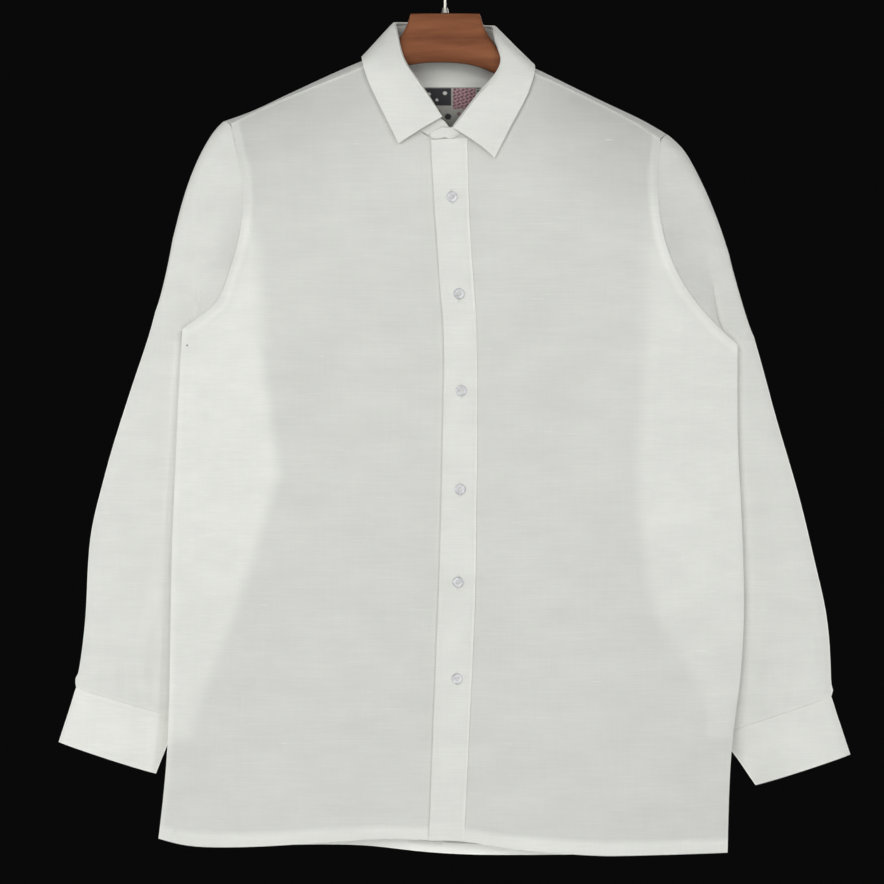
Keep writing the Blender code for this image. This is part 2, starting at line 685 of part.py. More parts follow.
def leaf_grid():
    grid = [[] for _ in range(LEAF_ROWS + 2)]
    bottom = neck_points()
    for i, row in enumerate(COLLAR):
        if row[6] is None:
            continue
        away = collar_outward(i, bottom[i])
        fold = point(row[3], row[4], row[5])
        start = fold + away * LEAF_ROLL * MM + Vector((0.0, 0.0, -LEAF_ROLL_DROP * MM))
        lift = LEAF_LIFT_FRONT if row[2] == "front" else LEAF_LIFT_BACK
        edge = lifted(row[6], row[7], row[2], lift)
        share = min(abs(row[5]) / LEAF_FULL_BULGE_DEPTH, 1.0)
        bulge = LEAF_BULGE_BESIDE + (LEAF_BULGE - LEAF_BULGE_BESIDE) * share
        control = start + (edge - start) * LEAF_CONTROL
        control += away * bulge * MM + Vector((0.0, 0.0, LEAF_RISE * share * MM))
        grid[0].append(fold)
        for step in range(LEAF_ROWS + 1):
            t = step / LEAF_ROWS
            grid[step + 1].append(start * (1 - t) ** 2 + control * 2 * t * (1 - t) + edge * t * t)
    return grid


def label_grid():
    grid = []
    for down in np.linspace(LABEL_TOP, LABEL_BOTTOM, 4):
        row = []
        for x in np.linspace(LABEL_LEFT, LABEL_RIGHT, 5):
            row.append(lifted(float(x), float(down), "back", -(CLOTH + LABEL_THICKNESS) / 2 - SEAM_GAP))
        grid.append(row)
    return grid


def button(name, place, normal, diameter, collection, material):
    """A turned disc with a rim and a shallow dish, facing along normal."""
    radius = diameter / 2
    half = BUTTON_THICKNESS / 2
    profile = [(0.0, half - BUTTON_DISH), (radius - BUTTON_RIM, half - BUTTON_DISH),
               (radius - BUTTON_RIM * 0.6, half), (radius, half * 0.3), (radius - 0.6, -half), (0.0, -half)]
    work = bmesh.new()
    verts = [work.verts.new((r * MM, 0.0, z * MM)) for r, z in profile]
    for a, b in zip(verts, verts[1:]):
        work.edges.new((a, b))
    mesh = bpy.data.meshes.new(name)
    work.to_mesh(mesh)
    work.free()
    mesh.shade_smooth()
    obj = add_object(name, mesh, collection, material)
    obj.location = place
    obj.rotation_mode = "QUATERNION"
    obj.rotation_quaternion = normal.to_track_quat("Z", "Y")
    screw = obj.modifiers.new("turned", "SCREW")
    screw.steps = BUTTON_SIDES
    screw.render_steps = BUTTON_SIDES
    screw.use_merge_vertices = True
    screw.merge_threshold = 0.00001
    return obj


def make_wood(collection, material):
    work = bmesh.new()
    rings = []
    for x, top, bottom, half_depth in WOOD:
        half_height = (bottom - top) / 2
        middle = (bottom + top) / 2
        ring = []
        for i in range(WOOD_SIDES):
            angle = 2 * math.pi * i / WOOD_SIDES
            c = math.cos(angle)
            s = math.sin(angle)
            across = math.copysign(abs(c) ** (2 / WOOD_CORNER), c) * half_depth
            up = math.copysign(abs(s) ** (2 / WOOD_CORNER), s) * half_height
            ring.append(work.verts.new(point(x, middle - up, across)))
        rings.append(ring)
    for left, right in zip(rings, rings[1:]):
        for i in range(WOOD_SIDES):
            k = (i + 1) % WOOD_SIDES
            work.faces.new((left[i], right[i], right[k], left[k]))
    work.faces.new(rings[0])
    work.faces.new(reversed(rings[-1]))
    bmesh.ops.recalc_face_normals(work, faces=work.faces)
    mesh = bpy.data.meshes.new("hanger_wood")
    work.to_mesh(mesh)
    work.free()
    mesh.shade_smooth()
    return add_object("hanger_wood", mesh, collection, material)


def make_hook(collection, material):
    centre_down = HOOK_RADIUS - WIRE_RADIUS
    foot = WOOD_TOP - FERRULE_LENGTH - SEAM_GAP * 2
    path = [(0.0, foot), (0.0, SHANK_TOP), (3.0, SHANK_TOP - 8.0), (10.5, SHANK_TOP - 16.0)]
    for i in range(HOOK_TURN_POINTS + 1):
        angle = math.radians(HOOK_FIRST_ANGLE + (HOOK_TIP_ANGLE - HOOK_FIRST_ANGLE) * i / HOOK_TURN_POINTS)
        path.append((HOOK_RADIUS * math.cos(angle), centre_down - HOOK_RADIUS * math.sin(angle)))
    curve = bpy.data.curves.new("hanger_hook", "CURVE")
    curve.dimensions = "3D"
    curve.bevel_depth = WIRE_RADIUS * MM
    curve.bevel_resolution = 2
    curve.use_fill_caps = True
    spline = curve.splines.new("POLY")
    spline.points.add(len(path) - 1)
    for knot, (x, down) in zip(spline.points, path):
        knot.co = (*point(x, down, 0.0), 1.0)
    obj = bpy.data.objects.new("hanger_hook", curve)
    curve.materials.append(material)
    collection.objects.link(obj)
    return obj


def make_ferrule(collection, material):
    work = bmesh.new()
    bmesh.ops.create_cone(work, cap_ends=True, segments=16, radius1=FERRULE_RADIUS * MM,
                          radius2=FERRULE_RADIUS * FERRULE_TAPER * MM, depth=FERRULE_LENGTH * MM)
    mesh = bpy.data.meshes.new("hanger_ferrule")
    work.to_mesh(mesh)
    work.free()
    obj = add_object("hanger_ferrule", mesh, collection, material)
    obj.location = point(0.0, WOOD_TOP - SEAM_GAP - FERRULE_LENGTH / 2, 0.0)
    return obj


def make_buttons(collection, material):
    stack = PLACKET_LIFT + CLOTH / 2 + BUTTON_CLEARANCE + BUTTON_THICKNESS / 2
    for number, (x, down) in enumerate(BUTTONS_FRONT, 1):
        place = lifted(x, down, "front", stack)
        button(f"button_front_{number}", place, Vector((0, -1, 0)), BUTTON_DIAMETER, collection, material)
    for wearer_side, rows in (("right", CUFF_RIGHT), ("left", CUFF_LEFT)):
        lift = CLOTH / 2 + BUTTON_CLEARANCE + BUTTON_THICKNESS / 2
        place = sleeve_surface(rows, CUFF_BUTTON_RING, CUFF_BUTTON_ACROSS, 1.0, lift)
        name = f"button_cuff_{wearer_side}"
        button(name, place, Vector((0.1, 1, 0)), BUTTON_DIAMETER, collection, material)


def build():
    for obj in list(bpy.data.objects):
        bpy.data.objects.remove(obj)
    collection = bpy.data.collections.new("linen_shirt")
    bpy.context.scene.collection.children.link(collection)
    linen, wood, steel, shell, label = [make_material(name) for name in COLOURS]

    yoke = yoke_grid()
    surface("yoke", yoke, collection, linen)
    surface("front_right", front_grid("right"), collection, linen, flip=True)
    surface("front_left", front_grid("left"), collection, linen)
    surface("front_placket", placket_grid(), collection, linen)
    surface("back", back_grid(), collection, linen, flip=True)

    turn = 3 + ARMHOLE_ROWS
    sides = (
        ("right", SLEEVE_RIGHT, CUFF_RIGHT, GAUNTLET_RIGHT),
        ("left", SLEEVE_LEFT, CUFF_LEFT, GAUNTLET_LEFT),
    )
    for wearer_side, rows, cuff, gauntlet in sides:
        flip = wearer_side == "left"
        sleeve, shares = sleeve_grid(rows, armhole_ring(wearer_side, yoke), turn)
        surface(f"sleeve_{wearer_side}", sleeve, collection, linen, ring=True, flip=flip)
        cuff_rings = [lens_ring(row, shares, turn) for row in cuff]
        surface(f"cuff_{wearer_side}", cuff_rings, collection, linen, ring=True, flip=flip)
        surface(f"sleeve_placket_{wearer_side}", gauntlet_grid(rows, gauntlet), collection, linen)

    surface("collar_stand", stand_grid(), collection, linen)
    surface("collar_leaf", leaf_grid(), collection, linen)
    surface("neck_label", label_grid(), collection, label, thickness=LABEL_THICKNESS)
    make_buttons(collection, shell)
    make_wood(collection, wood)
    make_hook(collection, steel)
    make_ferrule(collection, steel)


build()
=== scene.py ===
# White linen shirt, buttoned up and hung on a brown wooden hanger.
# Tables are in millimetres: x to the wearer's left, down below the hold point, depth along +Y.

import math

import bmesh
import bpy
import numpy as np
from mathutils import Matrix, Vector
from mathutils.bvhtree import BVHTree


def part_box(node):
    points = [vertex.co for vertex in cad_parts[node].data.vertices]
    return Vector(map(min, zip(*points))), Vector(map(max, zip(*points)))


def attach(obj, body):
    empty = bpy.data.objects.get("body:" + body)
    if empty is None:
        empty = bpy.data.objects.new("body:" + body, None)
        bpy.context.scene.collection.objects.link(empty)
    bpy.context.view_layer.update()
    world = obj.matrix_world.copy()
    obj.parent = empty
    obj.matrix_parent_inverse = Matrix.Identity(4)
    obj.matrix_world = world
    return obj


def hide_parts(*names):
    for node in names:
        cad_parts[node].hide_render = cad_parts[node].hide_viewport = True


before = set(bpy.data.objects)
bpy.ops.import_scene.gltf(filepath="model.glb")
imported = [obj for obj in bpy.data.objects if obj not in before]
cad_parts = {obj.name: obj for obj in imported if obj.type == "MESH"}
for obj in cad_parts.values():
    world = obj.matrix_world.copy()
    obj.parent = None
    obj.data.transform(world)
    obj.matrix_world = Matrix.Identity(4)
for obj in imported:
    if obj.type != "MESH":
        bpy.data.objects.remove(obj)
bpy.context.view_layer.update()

# Hanger wood
# The real piece is a stained hardwood hanger, cut with a flat neck block and varnished.
# The shirt's shoulders rest on its arms, and only the block shows inside the collar.

MM = 0.001


def finer_copy(node, name, levels, crisp_angle=40.0):
    """A copy of a CAD node's mesh, merged, squared up and subdivided, with its sharp edges kept."""
    work = bmesh.new()
    work.from_mesh(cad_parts[node].data)
    bmesh.ops.remove_doubles(work, verts=work.verts, dist=0.01 * MM)
    bmesh.ops.join_triangles(
        work, faces=work.faces, angle_face_threshold=math.radians(30), angle_shape_threshold=math.radians(60)
    )
    crisp = work.edges.layers.float.new("crease_edge")
    for edge in work.edges:
        if len(edge.link_faces) == 2 and edge.calc_face_angle() > math.radians(crisp_angle):
            edge[crisp] = 1.0
    mesh = bpy.data.meshes.new(name)
    work.to_mesh(mesh)
    work.free()
    obj = bpy.data.objects.new(name, mesh)
    bpy.context.scene.collection.objects.link(obj)
    subdivide = obj.modifiers.new("finer", "SUBSURF")
    subdivide.levels = levels
    subdivide.render_levels = levels
    return settled(obj)


def settled(obj):
    """Turns what an object's modifiers make into its own plain mesh."""
    shown = obj.evaluated_get(bpy.context.evaluated_depsgraph_get())
    mesh = bpy.data.meshes.new_from_object(shown)
    mesh.name = obj.name
    obj.modifiers.clear()
    obj.data = mesh
    return obj


def dress(obj, material, slot_name, *nodes):
    """Gives a piece its material and lets it stand for CAD nodes."""
    obj.data.materials.clear()
    obj.data.materials.append(material)
    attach(obj, "root")
    if nodes:
        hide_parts(*nodes)
    return obj


def srgb(red, green, blue):
    """A colour from 0 to 255 as the linear values that a shader takes."""
    return tuple((v / 255 / 12.92 if v <= 10 else ((v / 255 + 0.055) / 1.055) ** 2.4) for v in (red, green, blue))


def new_material(name):
    """A new material, its node tree and its shader."""
    material = bpy.data.materials.new(name)
    material.use_nodes = True
    return material, material.node_tree, material.node_tree.nodes["Principled BSDF"]


def stretched_noise(tree, scale, stretch, detail):
    """Noise over the piece's own coordinates, drawn out along the axes with a low stretch."""
    where = tree.nodes.new("ShaderNodeTexCoord")
    mapping = tree.nodes.new("ShaderNodeMapping")
    mapping.inputs["Scale"].default_value = stretch
    tree.links.new(where.outputs["Object"], mapping.inputs["Vector"])
    noise = tree.nodes.new("ShaderNodeTexNoise")
    noise.inputs["Scale"].default_value = scale
    noise.inputs["Detail"].default_value = detail
    noise.inputs["Roughness"].default_value = 0.6
    tree.links.new(mapping.outputs["Vector"], noise.inputs["Vector"])
    return noise.outputs["Fac"]


def ramp(tree, factor, *stops):
    """A colour ramp fed by factor. Each stop is a place and a linear colour."""
    node = tree.nodes.new("ShaderNodeValToRGB")
    while len(node.color_ramp.elements) < len(stops):
        node.color_ramp.elements.new(0.5)
    for element, (place, colour) in zip(node.color_ramp.elements, stops):
        element.position = place
        element.color = (*colour, 1.0)
    tree.links.new(factor, node.inputs["Fac"])
    return node.outputs["Color"]


wood_material, tree, shader = new_material("stained_wood")
grain = stretched_noise(tree, 90.0, (0.12, 1.0, 1.0), 6.0)
tone = ramp(tree, grain, (0.3, srgb(112, 69, 48)), (0.5, srgb(133, 83, 56)), (0.7, srgb(146, 95, 66)))
tree.links.new(tone, shader.inputs["Base Color"])
shader.inputs["Roughness"].default_value = 0.6
shader.inputs["Specular IOR Level"].default_value = 0.04
bump = tree.nodes.new("ShaderNodeBump")
bump.inputs["Strength"].default_value = 0.15
bump.inputs["Distance"].default_value = 0.0003
tree.links.new(grain, bump.inputs["Height"])
tree.links.new(bump.outputs["Normal"], shader.inputs["Normal"])

wood = finer_copy("hanger_wood", "stained_wooden_bar", 2, crisp_angle=38.0)
dress(wood, wood_material, "wood", "hanger_wood")

# Wire hook and its ferrule
# The real piece is a bright steel wire, bent to a hook.
# It is pushed into the hanger's block through a small collar.

steel_material, tree, shader = new_material("bright_wire")
wear = stretched_noise(tree, 300.0, (1.0, 1.0, 0.2), 3.0)
tone = ramp(tree, wear, (0.3, srgb(196, 192, 184)), (0.7, srgb(226, 223, 216)))
tree.links.new(tone, shader.inputs["Base Color"])
shader.inputs["Metallic"].default_value = 1.0
shader.inputs["Roughness"].default_value = 0.42

hook = finer_copy("hanger_hook", "bright_wire_hook", 2, crisp_angle=60.0)
dress(hook, steel_material, "steel", "hanger_hook")
ferrule = finer_copy("hanger_ferrule", "small_wire_collar", 2, crisp_angle=60.0)
dress(ferrule, steel_material, "steel", "hanger_ferrule")

# Yoke
# The real piece is two layers of linen over both shoulders. It is pressed flat and sewn to the fronts and the back.
# Every cloth piece keeps its solid's form. Its painted tone is painted light and shade: lighter where more layers
# lie behind the sheer linen, with painted shade and painted highlights in places.

# Seams and edges: x, down
YOKE_SEAM_RIGHT = [(-213, 192.5), (-191, 180.5), (-163, 168), (-112, 148.5), (-82, 135.5), (-65, 129.5)]
YOKE_SEAM_LEFT = [(214, 207.5), (194, 193.5), (166, 178.5), (124, 157.5), (90, 142.5), (68, 133)]
ARMHOLE_RIGHT = [
    (-213, 192.5), (-207.5, 218.5), (-201.5, 238.5), (-199, 269.5), (-202, 298.5), (-210, 328.5), (-226, 367.5),
    (-247, 387.5), (-262, 396),
]
ARMHOLE_LEFT = [
    (214, 207.5), (212.5, 221.5), (210.5, 239.5), (210, 256.5), (212, 281.5), (217, 306.5), (225, 330.5),
    (237, 354.5), (253, 374.5), (276, 399.5), (292, 411.5),
]
SIDE_RIGHT = [
    (-262, 396), (-265, 439.5), (-268, 508.5), (-273, 621.5), (-274.5, 733.5), (-276, 801.5), (-279, 846.5),
    (-285, 894.5), (-286, 904.5),
]
SIDE_LEFT = [
    (292, 411.5), (291.6, 508.5), (296, 578.5), (299, 663.5), (297, 728.5), (292, 773.5), (287, 796.5),
    (285, 818.5), (283, 874.5), (282, 918.5),
]
HEM_FRONT = [
    (-286, 904.5), (-270, 910.5), (-234, 912.5), (-192, 911.5), (-107, 906), (-70, 902.5), (-17, 904.5),
    (19, 904.5), (53, 911.5), (96, 916.5), (158, 920.5), (282, 918.5),
]
HEM_BACK = [
    (-286, 904.5), (-250, 910.5), (-192, 912), (-115, 912), (-85, 911), (-55, 915.5), (-25, 919.5), (5, 921.5),
    (35, 922.5), (95, 922.5), (158, 921.5), (215, 922), (260, 920), (282, 918.5),
]
RIDGE = [
    (-222, 188.3), (-201, 182.5), (-190, 177), (-164, 164.5), (-113, 140.5), (-83, 127.3), (-65, 120),
    (-40, 118), (0, 118), (45, 120), (68, 124.5), (89, 134.5), (137, 158.5), (163, 170.5), (186, 182.5),
    (204, 188.5), (216, 196.5), (224, 202.5),
]

# What lies behind the sheer body: the inner part of the sleeves and the corner of a cuff
SLEEVE_BEHIND_RIGHT = [
    (-262, 401), (-224, 380), (-200, 350), (-190, 352), (-183, 409.5), (-174, 480), (-165, 541.5), (-205, 666.5),
    (-255, 801.5), (-285, 801.5), (-275, 600),
]
SLEEVE_BEHIND_LEFT = [
    (296, 412), (262, 400), (232, 372), (212, 345), (203, 372), (197, 440), (194, 486), (191, 540), (195, 603),
    (207, 675), (225, 705), (244, 736), (262, 772), (290, 772), (300, 728), (299, 578),
]
SLEEVE_SECOND_LEFT = [
    (229, 514), (219, 538), (198, 603), (231, 620), (242, 650), (255, 676), (268, 688), (281, 708), (300, 700),
    (296, 520),
]
UNDERARM_RIGHT = [(-262, 399), (-224, 372), (-200, 322), (-196, 290), (-186, 320), (-180, 412), (-262, 412)]
UNDERARM_LEFT = [(292, 414), (240, 362), (213, 300), (208, 270), (202, 320), (200, 414)]
PLACKET_LEFT = [
    (-14, 208.8), (-11, 267.5), (-6, 336.5), (-4, 368.5), (0, 396.5), (-2, 496.5), (-5, 626.5), (-16, 903),
]
CUFF_BEHIND_LEFT = [(261, 770.5), (285, 770.5), (285, 803.5), (261, 803.5)]
NECK_RIGHT = [(19, 209.5), (-4, 208.8), (-20, 203.5), (-37, 188.5), (-50, 168.5), (-59, 148.5), (-65, 129.5)]
NECK_LEFT = [(-14, 208.8), (6, 205.5), (23, 197.5), (38, 183.5), (52, 164.5), (62, 146.5), (68, 133)]
# Lower edge of the wooden bar: a painted shadow falls on the cloth just below it.
WOOD_LOWER = [(-66, 147), (-47, 136), (-34, 131.5), (-22, 129.5), (0, 128.5), (22, 130.5), (39, 136), (58, 144)]


FAR_AWAY = 1e9


def smooth(value):
    """0 below 0 and 1 above 1, eased between."""
    value = np.clip(value, 0.0, 1.0)
    return value * value * (3.0 - 2.0 * value)


def places(obj):
    """Every vertex as arrays of x, down and depth in millimetres."""
    flat = np.empty(len(obj.data.vertices) * 3)
    obj.data.vertices.foreach_get("co", flat)
    co = flat.reshape(-1, 3) / MM
    return co[:, 0].copy(), -co[:, 2].copy(), co[:, 1].copy()


def normals(obj):
    """Every vertex's normal, a row each."""
    flat = np.empty(len(obj.data.vertices) * 3)
    obj.data.vertices.foreach_get("normal", flat)
    return flat.reshape(-1, 3)


def move_to(obj, x, down, depth):
    """Lays every vertex at its x, down and depth in millimetres."""
    flat = np.stack([x, depth, -down], axis=1) * MM
    obj.data.vertices.foreach_set("co", flat.reshape(-1))
    obj.data.update()


def distance_to(path, x, down):
    """How far each point is from a path, across the front."""
    nearest = np.full(x.shape, FAR_AWAY)
    for (x0, down0), (x1, down1) in zip(path, path[1:]):
        step_x = x1 - x0
        step_down = down1 - down0
        share = ((x - x0) * step_x + (down - down0) * step_down) / (step_x * step_x + step_down * step_down)
        share = np.clip(share, 0.0, 1.0)
        nearest = np.minimum(nearest, np.hypot(x - x0 - share * step_x, down - down0 - share * step_down))
    return nearest


def soft_area(outline, x, down, blur):
    """1 inside a closed outline and 0 outside, with a soft edge."""
    closed = outline + outline[:1]
    within = np.zeros(x.shape, dtype=bool)
    for (x0, down0), (x1, down1) in zip(closed, closed[1:]):
        crosses = (down0 > down) != (down1 > down)
        at = x0 + (down - down0) * (x1 - x0) / (down1 - down0 + 1e-9)
        within ^= crosses & (x < at)
    away = distance_to(closed, x, down) * np.where(within, 1.0, -1.0)
    return smooth(away / blur * 0.5 + 0.5)


def along(path, x):
    """Height of a path from left to right at each x."""
    return np.interp(x, [p[0] for p in path], [p[1] for p in path])


def eased_armholes(x, down):
    """Where points near the low curve of the right armhole go, so that both sides of the seam round out."""
    pull = 3.4 * np.exp(-((x + 229.0) ** 2 + (down - 363.0) ** 2) / (2 * 15.0 ** 2))
    return x + 0.7 * pull, down + 0.7 * pull


def calmed(obj, middle_x, middle_down, radius, armhole, rounds):
    """Evens the cloth in one round area, away from the seam."""
    work = bmesh.new()
    work.from_mesh(obj.data)
    x, down, depth = places(obj)
    chosen = np.hypot(x - middle_x, down - middle_down) < radius
    chosen &= distance_to(armhole, x, down) > 2.5
    work.verts.ensure_lookup_table()
    area = [work.verts[i] for i in np.nonzero(chosen)[0]]
    for _ in range(rounds):
        bmesh.ops.smooth_vert(work, verts=area, factor=0.5, use_axis_x=True, use_axis_y=True, use_axis_z=True)
    work.to_mesh(obj.data)
    work.free()
    obj.data.update()


def folds(table, x, down):
    """Height of soft folds. Each row is x and down of the middle, length, angle from level, width and rise."""
    height = np.zeros(x.shape)
    for middle_x, middle_down, length, angle, width, rise in table:
        turn = math.radians(angle)
        lengthwise = (x - middle_x) * math.cos(turn) + (down - middle_down) * math.sin(turn)
        across = (down - middle_down) * math.cos(turn) - (x - middle_x) * math.sin(turn)
        across += 0.08 * width * np.sin(lengthwise / width)
        fade = smooth((length / 2 - np.abs(lengthwise)) / (length * 0.35))
        height += rise * np.exp(-((across / width) ** 2)) * fade
    return height


def paint(obj, tone):
    """Stores a tone for every vertex: 1 is the plain cloth colour."""
    layer = obj.data.color_attributes.new("tone", "FLOAT_COLOR", "POINT")
    values = np.repeat(tone[:, None], 4, axis=1)
    values[:, 3] = 1.0
    layer.data.foreach_set("color", values.reshape(-1).astype(np.float32))


def multiplied(tree, colour):
    """A node that multiplies a colour by its second input."""
    mix = tree.nodes.new("ShaderNodeMix")
    mix.data_type = "RGBA"
    mix.blend_type = "MULTIPLY"
    mix.inputs["Factor"].default_value = 1.0
    tree.links.new(colour, mix.inputs["A"])
    return mix


def linen(name, colour):
    """Sheer off-white linen: painted tone, drawn-out slubs and a fine plain weave."""
    material, tree, shader = new_material(name)
    painted = tree.nodes.new("ShaderNodeAttribute")
    painted.attribute_name = "tone"
    weft = stretched_noise(tree, 700.0, (0.035, 0.3, 1.0), 2.0)
    warp = stretched_noise(tree, 500.0, (1.0, 0.3, 0.04), 2.0)
    cloud = stretched_noise(tree, 22.0, (0.8, 0.6, 1.6), 4.0)
    shade = ramp(tree, weft, (0.25, (0.966,) * 3), (0.62, (1.0,) * 3), (0.8, (1.048,) * 3))
    shade_up = ramp(tree, warp, (0.25, (0.988,) * 3), (0.8, (1.01,) * 3))
    shade_wide = ramp(tree, cloud, (0.3, (0.965,) * 3), (0.7, (1.03,) * 3))
    mixed = painted.outputs["Color"]
    for other in (shade, shade_up, shade_wide):
        mix = multiplied(tree, mixed)
        tree.links.new(other, mix.inputs["B"])
        mixed = mix.outputs["Result"]
    final = multiplied(tree, mixed)
    final.inputs["B"].default_value = (*colour, 1.0)
    tree.links.new(final.outputs["Result"], shader.inputs["Base Color"])
    shader.inputs["Roughness"].default_value = 0.9
    shader.inputs["Specular IOR Level"].default_value = 0.25
    shader.inputs["Sheen Weight"].default_value = 0.15
    where = tree.nodes.new("ShaderNodeTexCoord")
    height = None
    for direction in ("X", "Z"):
        yarn = tree.nodes.new("ShaderNodeTexWave")
        yarn.bands_direction = direction
        yarn.inputs["Scale"].default_value = 480.0
        yarn.inputs["Distortion"].default_value = 1.2
        yarn.inputs["Detail"].default_value = 1.0
        tree.links.new(where.outputs["Object"], yarn.inputs["Vector"])
        if height is None:
            height = yarn.outputs["Fac"]
        else:
            join = tree.nodes.new("ShaderNodeMath")
            join.operation = "ADD"
            tree.links.new(height, join.inputs[0])
            tree.links.new(yarn.outputs["Fac"], join.inputs[1])
            height = join.outputs["Value"]
    slub = tree.nodes.new("ShaderNodeMath")
    slub.operation = "ADD"
    tree.links.new(height, slub.inputs[0])
    tree.links.new(weft, slub.inputs[1])
    bump = tree.nodes.new("ShaderNodeBump")
    bump.inputs["Strength"].default_value = 0.35
    bump.inputs["Distance"].default_value = 0.00015
    tree.links.new(slub.outputs["Value"], bump.inputs["Height"])
    tree.links.new(bump.outputs["Normal"], shader.inputs["Normal"])
    return material


LINEN = srgb(231, 232, 226)
linen_body = linen("linen_body", LINEN)

yoke = finer_copy("yoke", "linen_yoke", 3)
dress(yoke, linen_body, "linen", "yoke")
x, down, depth = places(yoke)
in_front = depth < 0
# Painted shade: the inside of the yoke is painted darker near the shoulder ridge.
dark = 0.84 + 0.12 * smooth((down - along(RIDGE, x)) / 90.0)
# Painted highlight: bright lines along the yoke seams on the front.
seam = smooth(1.4 - distance_to(YOKE_SEAM_RIGHT, x, down) / 1.2)
seam += smooth(1.4 - distance_to(YOKE_SEAM_LEFT, x, down) / 1.2)
# Painted shadow of the wooden bar on the inside, just below its lower edge.
under = smooth((7.0 - np.abs(down - along(WOOD_LOWER, x))) / 3.0) * smooth((56.0 - np.abs(x)) / 8.0)
# The front of the yoke is painted darker, as painted shade by the shoulders.
paint(yoke, np.where(in_front, 0.82 + 0.22 * seam, dark - 0.10 * under))

# Front panels
# The real pieces are single linen, sewn to the yoke, sleeves and back with narrow allowances pressed inward.
# The right one runs under the left one at the closing, and both are turned up in a narrow hem.

HEM_WIDTH = 13.5
HEM_STITCHES = 12.5
HEM_RAISED = 0.35
ALLOWANCE = 10.0
FRONT_FOLDS = [
    (-160, 238, 150, 82, 9, 0.9), (-97, 236, 170, 86, 11, 1.0), (-118, 260, 120, 80, 8, -0.8),
    (-60, 300, 200, 92, 16, 0.7), (-182, 300, 130, 70, 10, -0.7), (-120, 420, 240, 12, 14, 0.7),
    (-60, 520, 230, -14, 12, -0.6), (-150, 640, 260, 62, 18, 0.9), (-215, 560, 220, 80, 13, 0.8),
    (-90, 745, 250, 8, 16, 0.8), (-190, 860, 170, -10, 12, 0.9), (-60, 850, 150, 78, 12, -0.7),
    (110, 250, 180, 96, 14, 0.9), (165, 270, 130, 104, 10, -0.8), (60, 300, 160, 88, 10, 0.7),
    (120, 400, 230, -9, 15, 0.6), (80, 500, 260, 6, 13, -0.6), (180, 560, 240, 108, 16, 0.9),
    (225, 480, 180, 118, 12, 0.8), (120, 690, 260, -16, 18, 0.8), (230, 780, 200, 84, 14, 0.9),
    (90, 860, 160, 99, 13, 0.8), (170, 880, 150, 6, 10, -0.6), (262, 640, 240, 92, 9, 0.6),
]


def body_tone(x, down):
    """Painted tone of the body's cloth: painted shade by the hanger and over the wearer's upper and lower left,
    painted light where hidden layers show through the sheer cloth.
    """
    drop = down - along(RIDGE, x)
    # Painted shade: darker towards the shoulder ridge and the hanger.
    tone = 0.718 + 0.139 * smooth((drop - 4.0) / 130.0)
    # Painted shade over the upper and the lower part of the wearer's left side.
    tone -= 0.05 * smooth((x - 60.0) / 90.0) * smooth(1.0 - drop / 170.0)
    tone -= 0.02 * smooth((down - 760.0) / 120.0) * smooth((x - 60.0) / 160.0)
    # Painted light where the sleeves, the underarms and a cuff lie behind the sheer body.
    right = soft_area(SLEEVE_BEHIND_RIGHT, x, down, 9.0)
    right = np.maximum(right, soft_area(UNDERARM_RIGHT, x, down, 14.0))
    left = soft_area(SLEEVE_BEHIND_LEFT, x, down, 9.0)
    left = np.maximum(left, soft_area(UNDERARM_LEFT, x, down, 14.0))
    second = soft_area(SLEEVE_SECOND_LEFT, x, down, 6.0)
    lower = smooth((down - 560.0) / 220.0)
    tone += (0.146 - 0.05 * lower) * right + (0.102 - 0.045 * lower) * left + 0.02 * second
    tone += 0.045 * soft_area(CUFF_BEHIND_LEFT, x, down, 2.5)
    return tone


def dressed_edges(x, down, tone, hem, armholes):
    """Painted light where seam allowances and the hem double the sheer cloth, and painted highlights along the
    right side edge and the yoke seams.
    """
    # Painted light over the armhole seam allowances, with a lighter line at their folded edge.
    for path in armholes:
        near = distance_to(path, x, down)
        low = smooth((down - 300.0) / 80.0)
        fold_line = 0.04 * smooth(1.0 - np.abs(near - 5.0) / 2.5)
        tone += (0.09 - 0.04 * low) * smooth((ALLOWANCE - near) / 3.0) + fold_line
    # Painted highlight along the body's right side edge.
    near = distance_to(SIDE_RIGHT, x, down)
    tone += 0.04 * smooth((7.0 - near) / 3.0) + 0.05 * smooth((3.5 - near) / 2.0)
    # Painted highlight: bright lines along the yoke seams.
    for path in (YOKE_SEAM_RIGHT, YOKE_SEAM_LEFT):
        tone += 0.18 * smooth(1.4 - distance_to(path, x, down) / 1.5)
    above = along(hem, x) - down
    band = smooth((HEM_WIDTH - above) / 1.6)
    # Painted light over the doubled hem, a little lighter in the middle and a little darker along its lower edge.
    level = 0.985 + 0.035 * smooth((x - 10.0) / 40.0) * smooth((210.0 - x) / 70.0)
    return tone * (1.0 - band) + (level - 0.02 * smooth((5.0 - above) / 4.0)) * band


def edge_glow(obj, tone, amount):
    """Painted light where the cloth turns away at a fold, standing in for the light seen through more of the sheer
    cloth there.
    """
    turned = 1.0 - np.abs(normals(obj)[:, 1])
    return np.minimum(tone * (1.0 + amount * turned ** 2), 1.22)


def close_seam(obj, path, gap, reach=8.0):
    """Draws a piece's edge across the seam gap, towards the line that it is sewn to."""
    x, down, depth = places(obj)
    nearest = np.full(x.shape, FAR_AWAY)
    to_x = np.zeros(x.shape)
    to_down = np.zeros(x.shape)
    for (x0, down0), (x1, down1) in zip(path, path[1:]):
        step_x = x1 - x0
        step_down = down1 - down0
        share = ((x - x0) * step_x + (down - down0) * step_down) / (step_x * step_x + step_down * step_down)
        share = np.clip(share, 0.0, 1.0)
        away_x = x0 + share * step_x - x
        away_down = down0 + share * step_down - down
        away = np.hypot(away_x, away_down)
        closer = away < nearest
        nearest = np.where(closer, away, nearest)
        to_x = np.where(closer, away_x, to_x)
        to_down = np.where(closer, away_down, to_down)
    step = gap * smooth(1.0 - nearest / reach) / np.maximum(nearest, 0.05)
    step = np.minimum(step, 1.0)
    move_to(obj, x + to_x * step, down + to_down * step, depth)


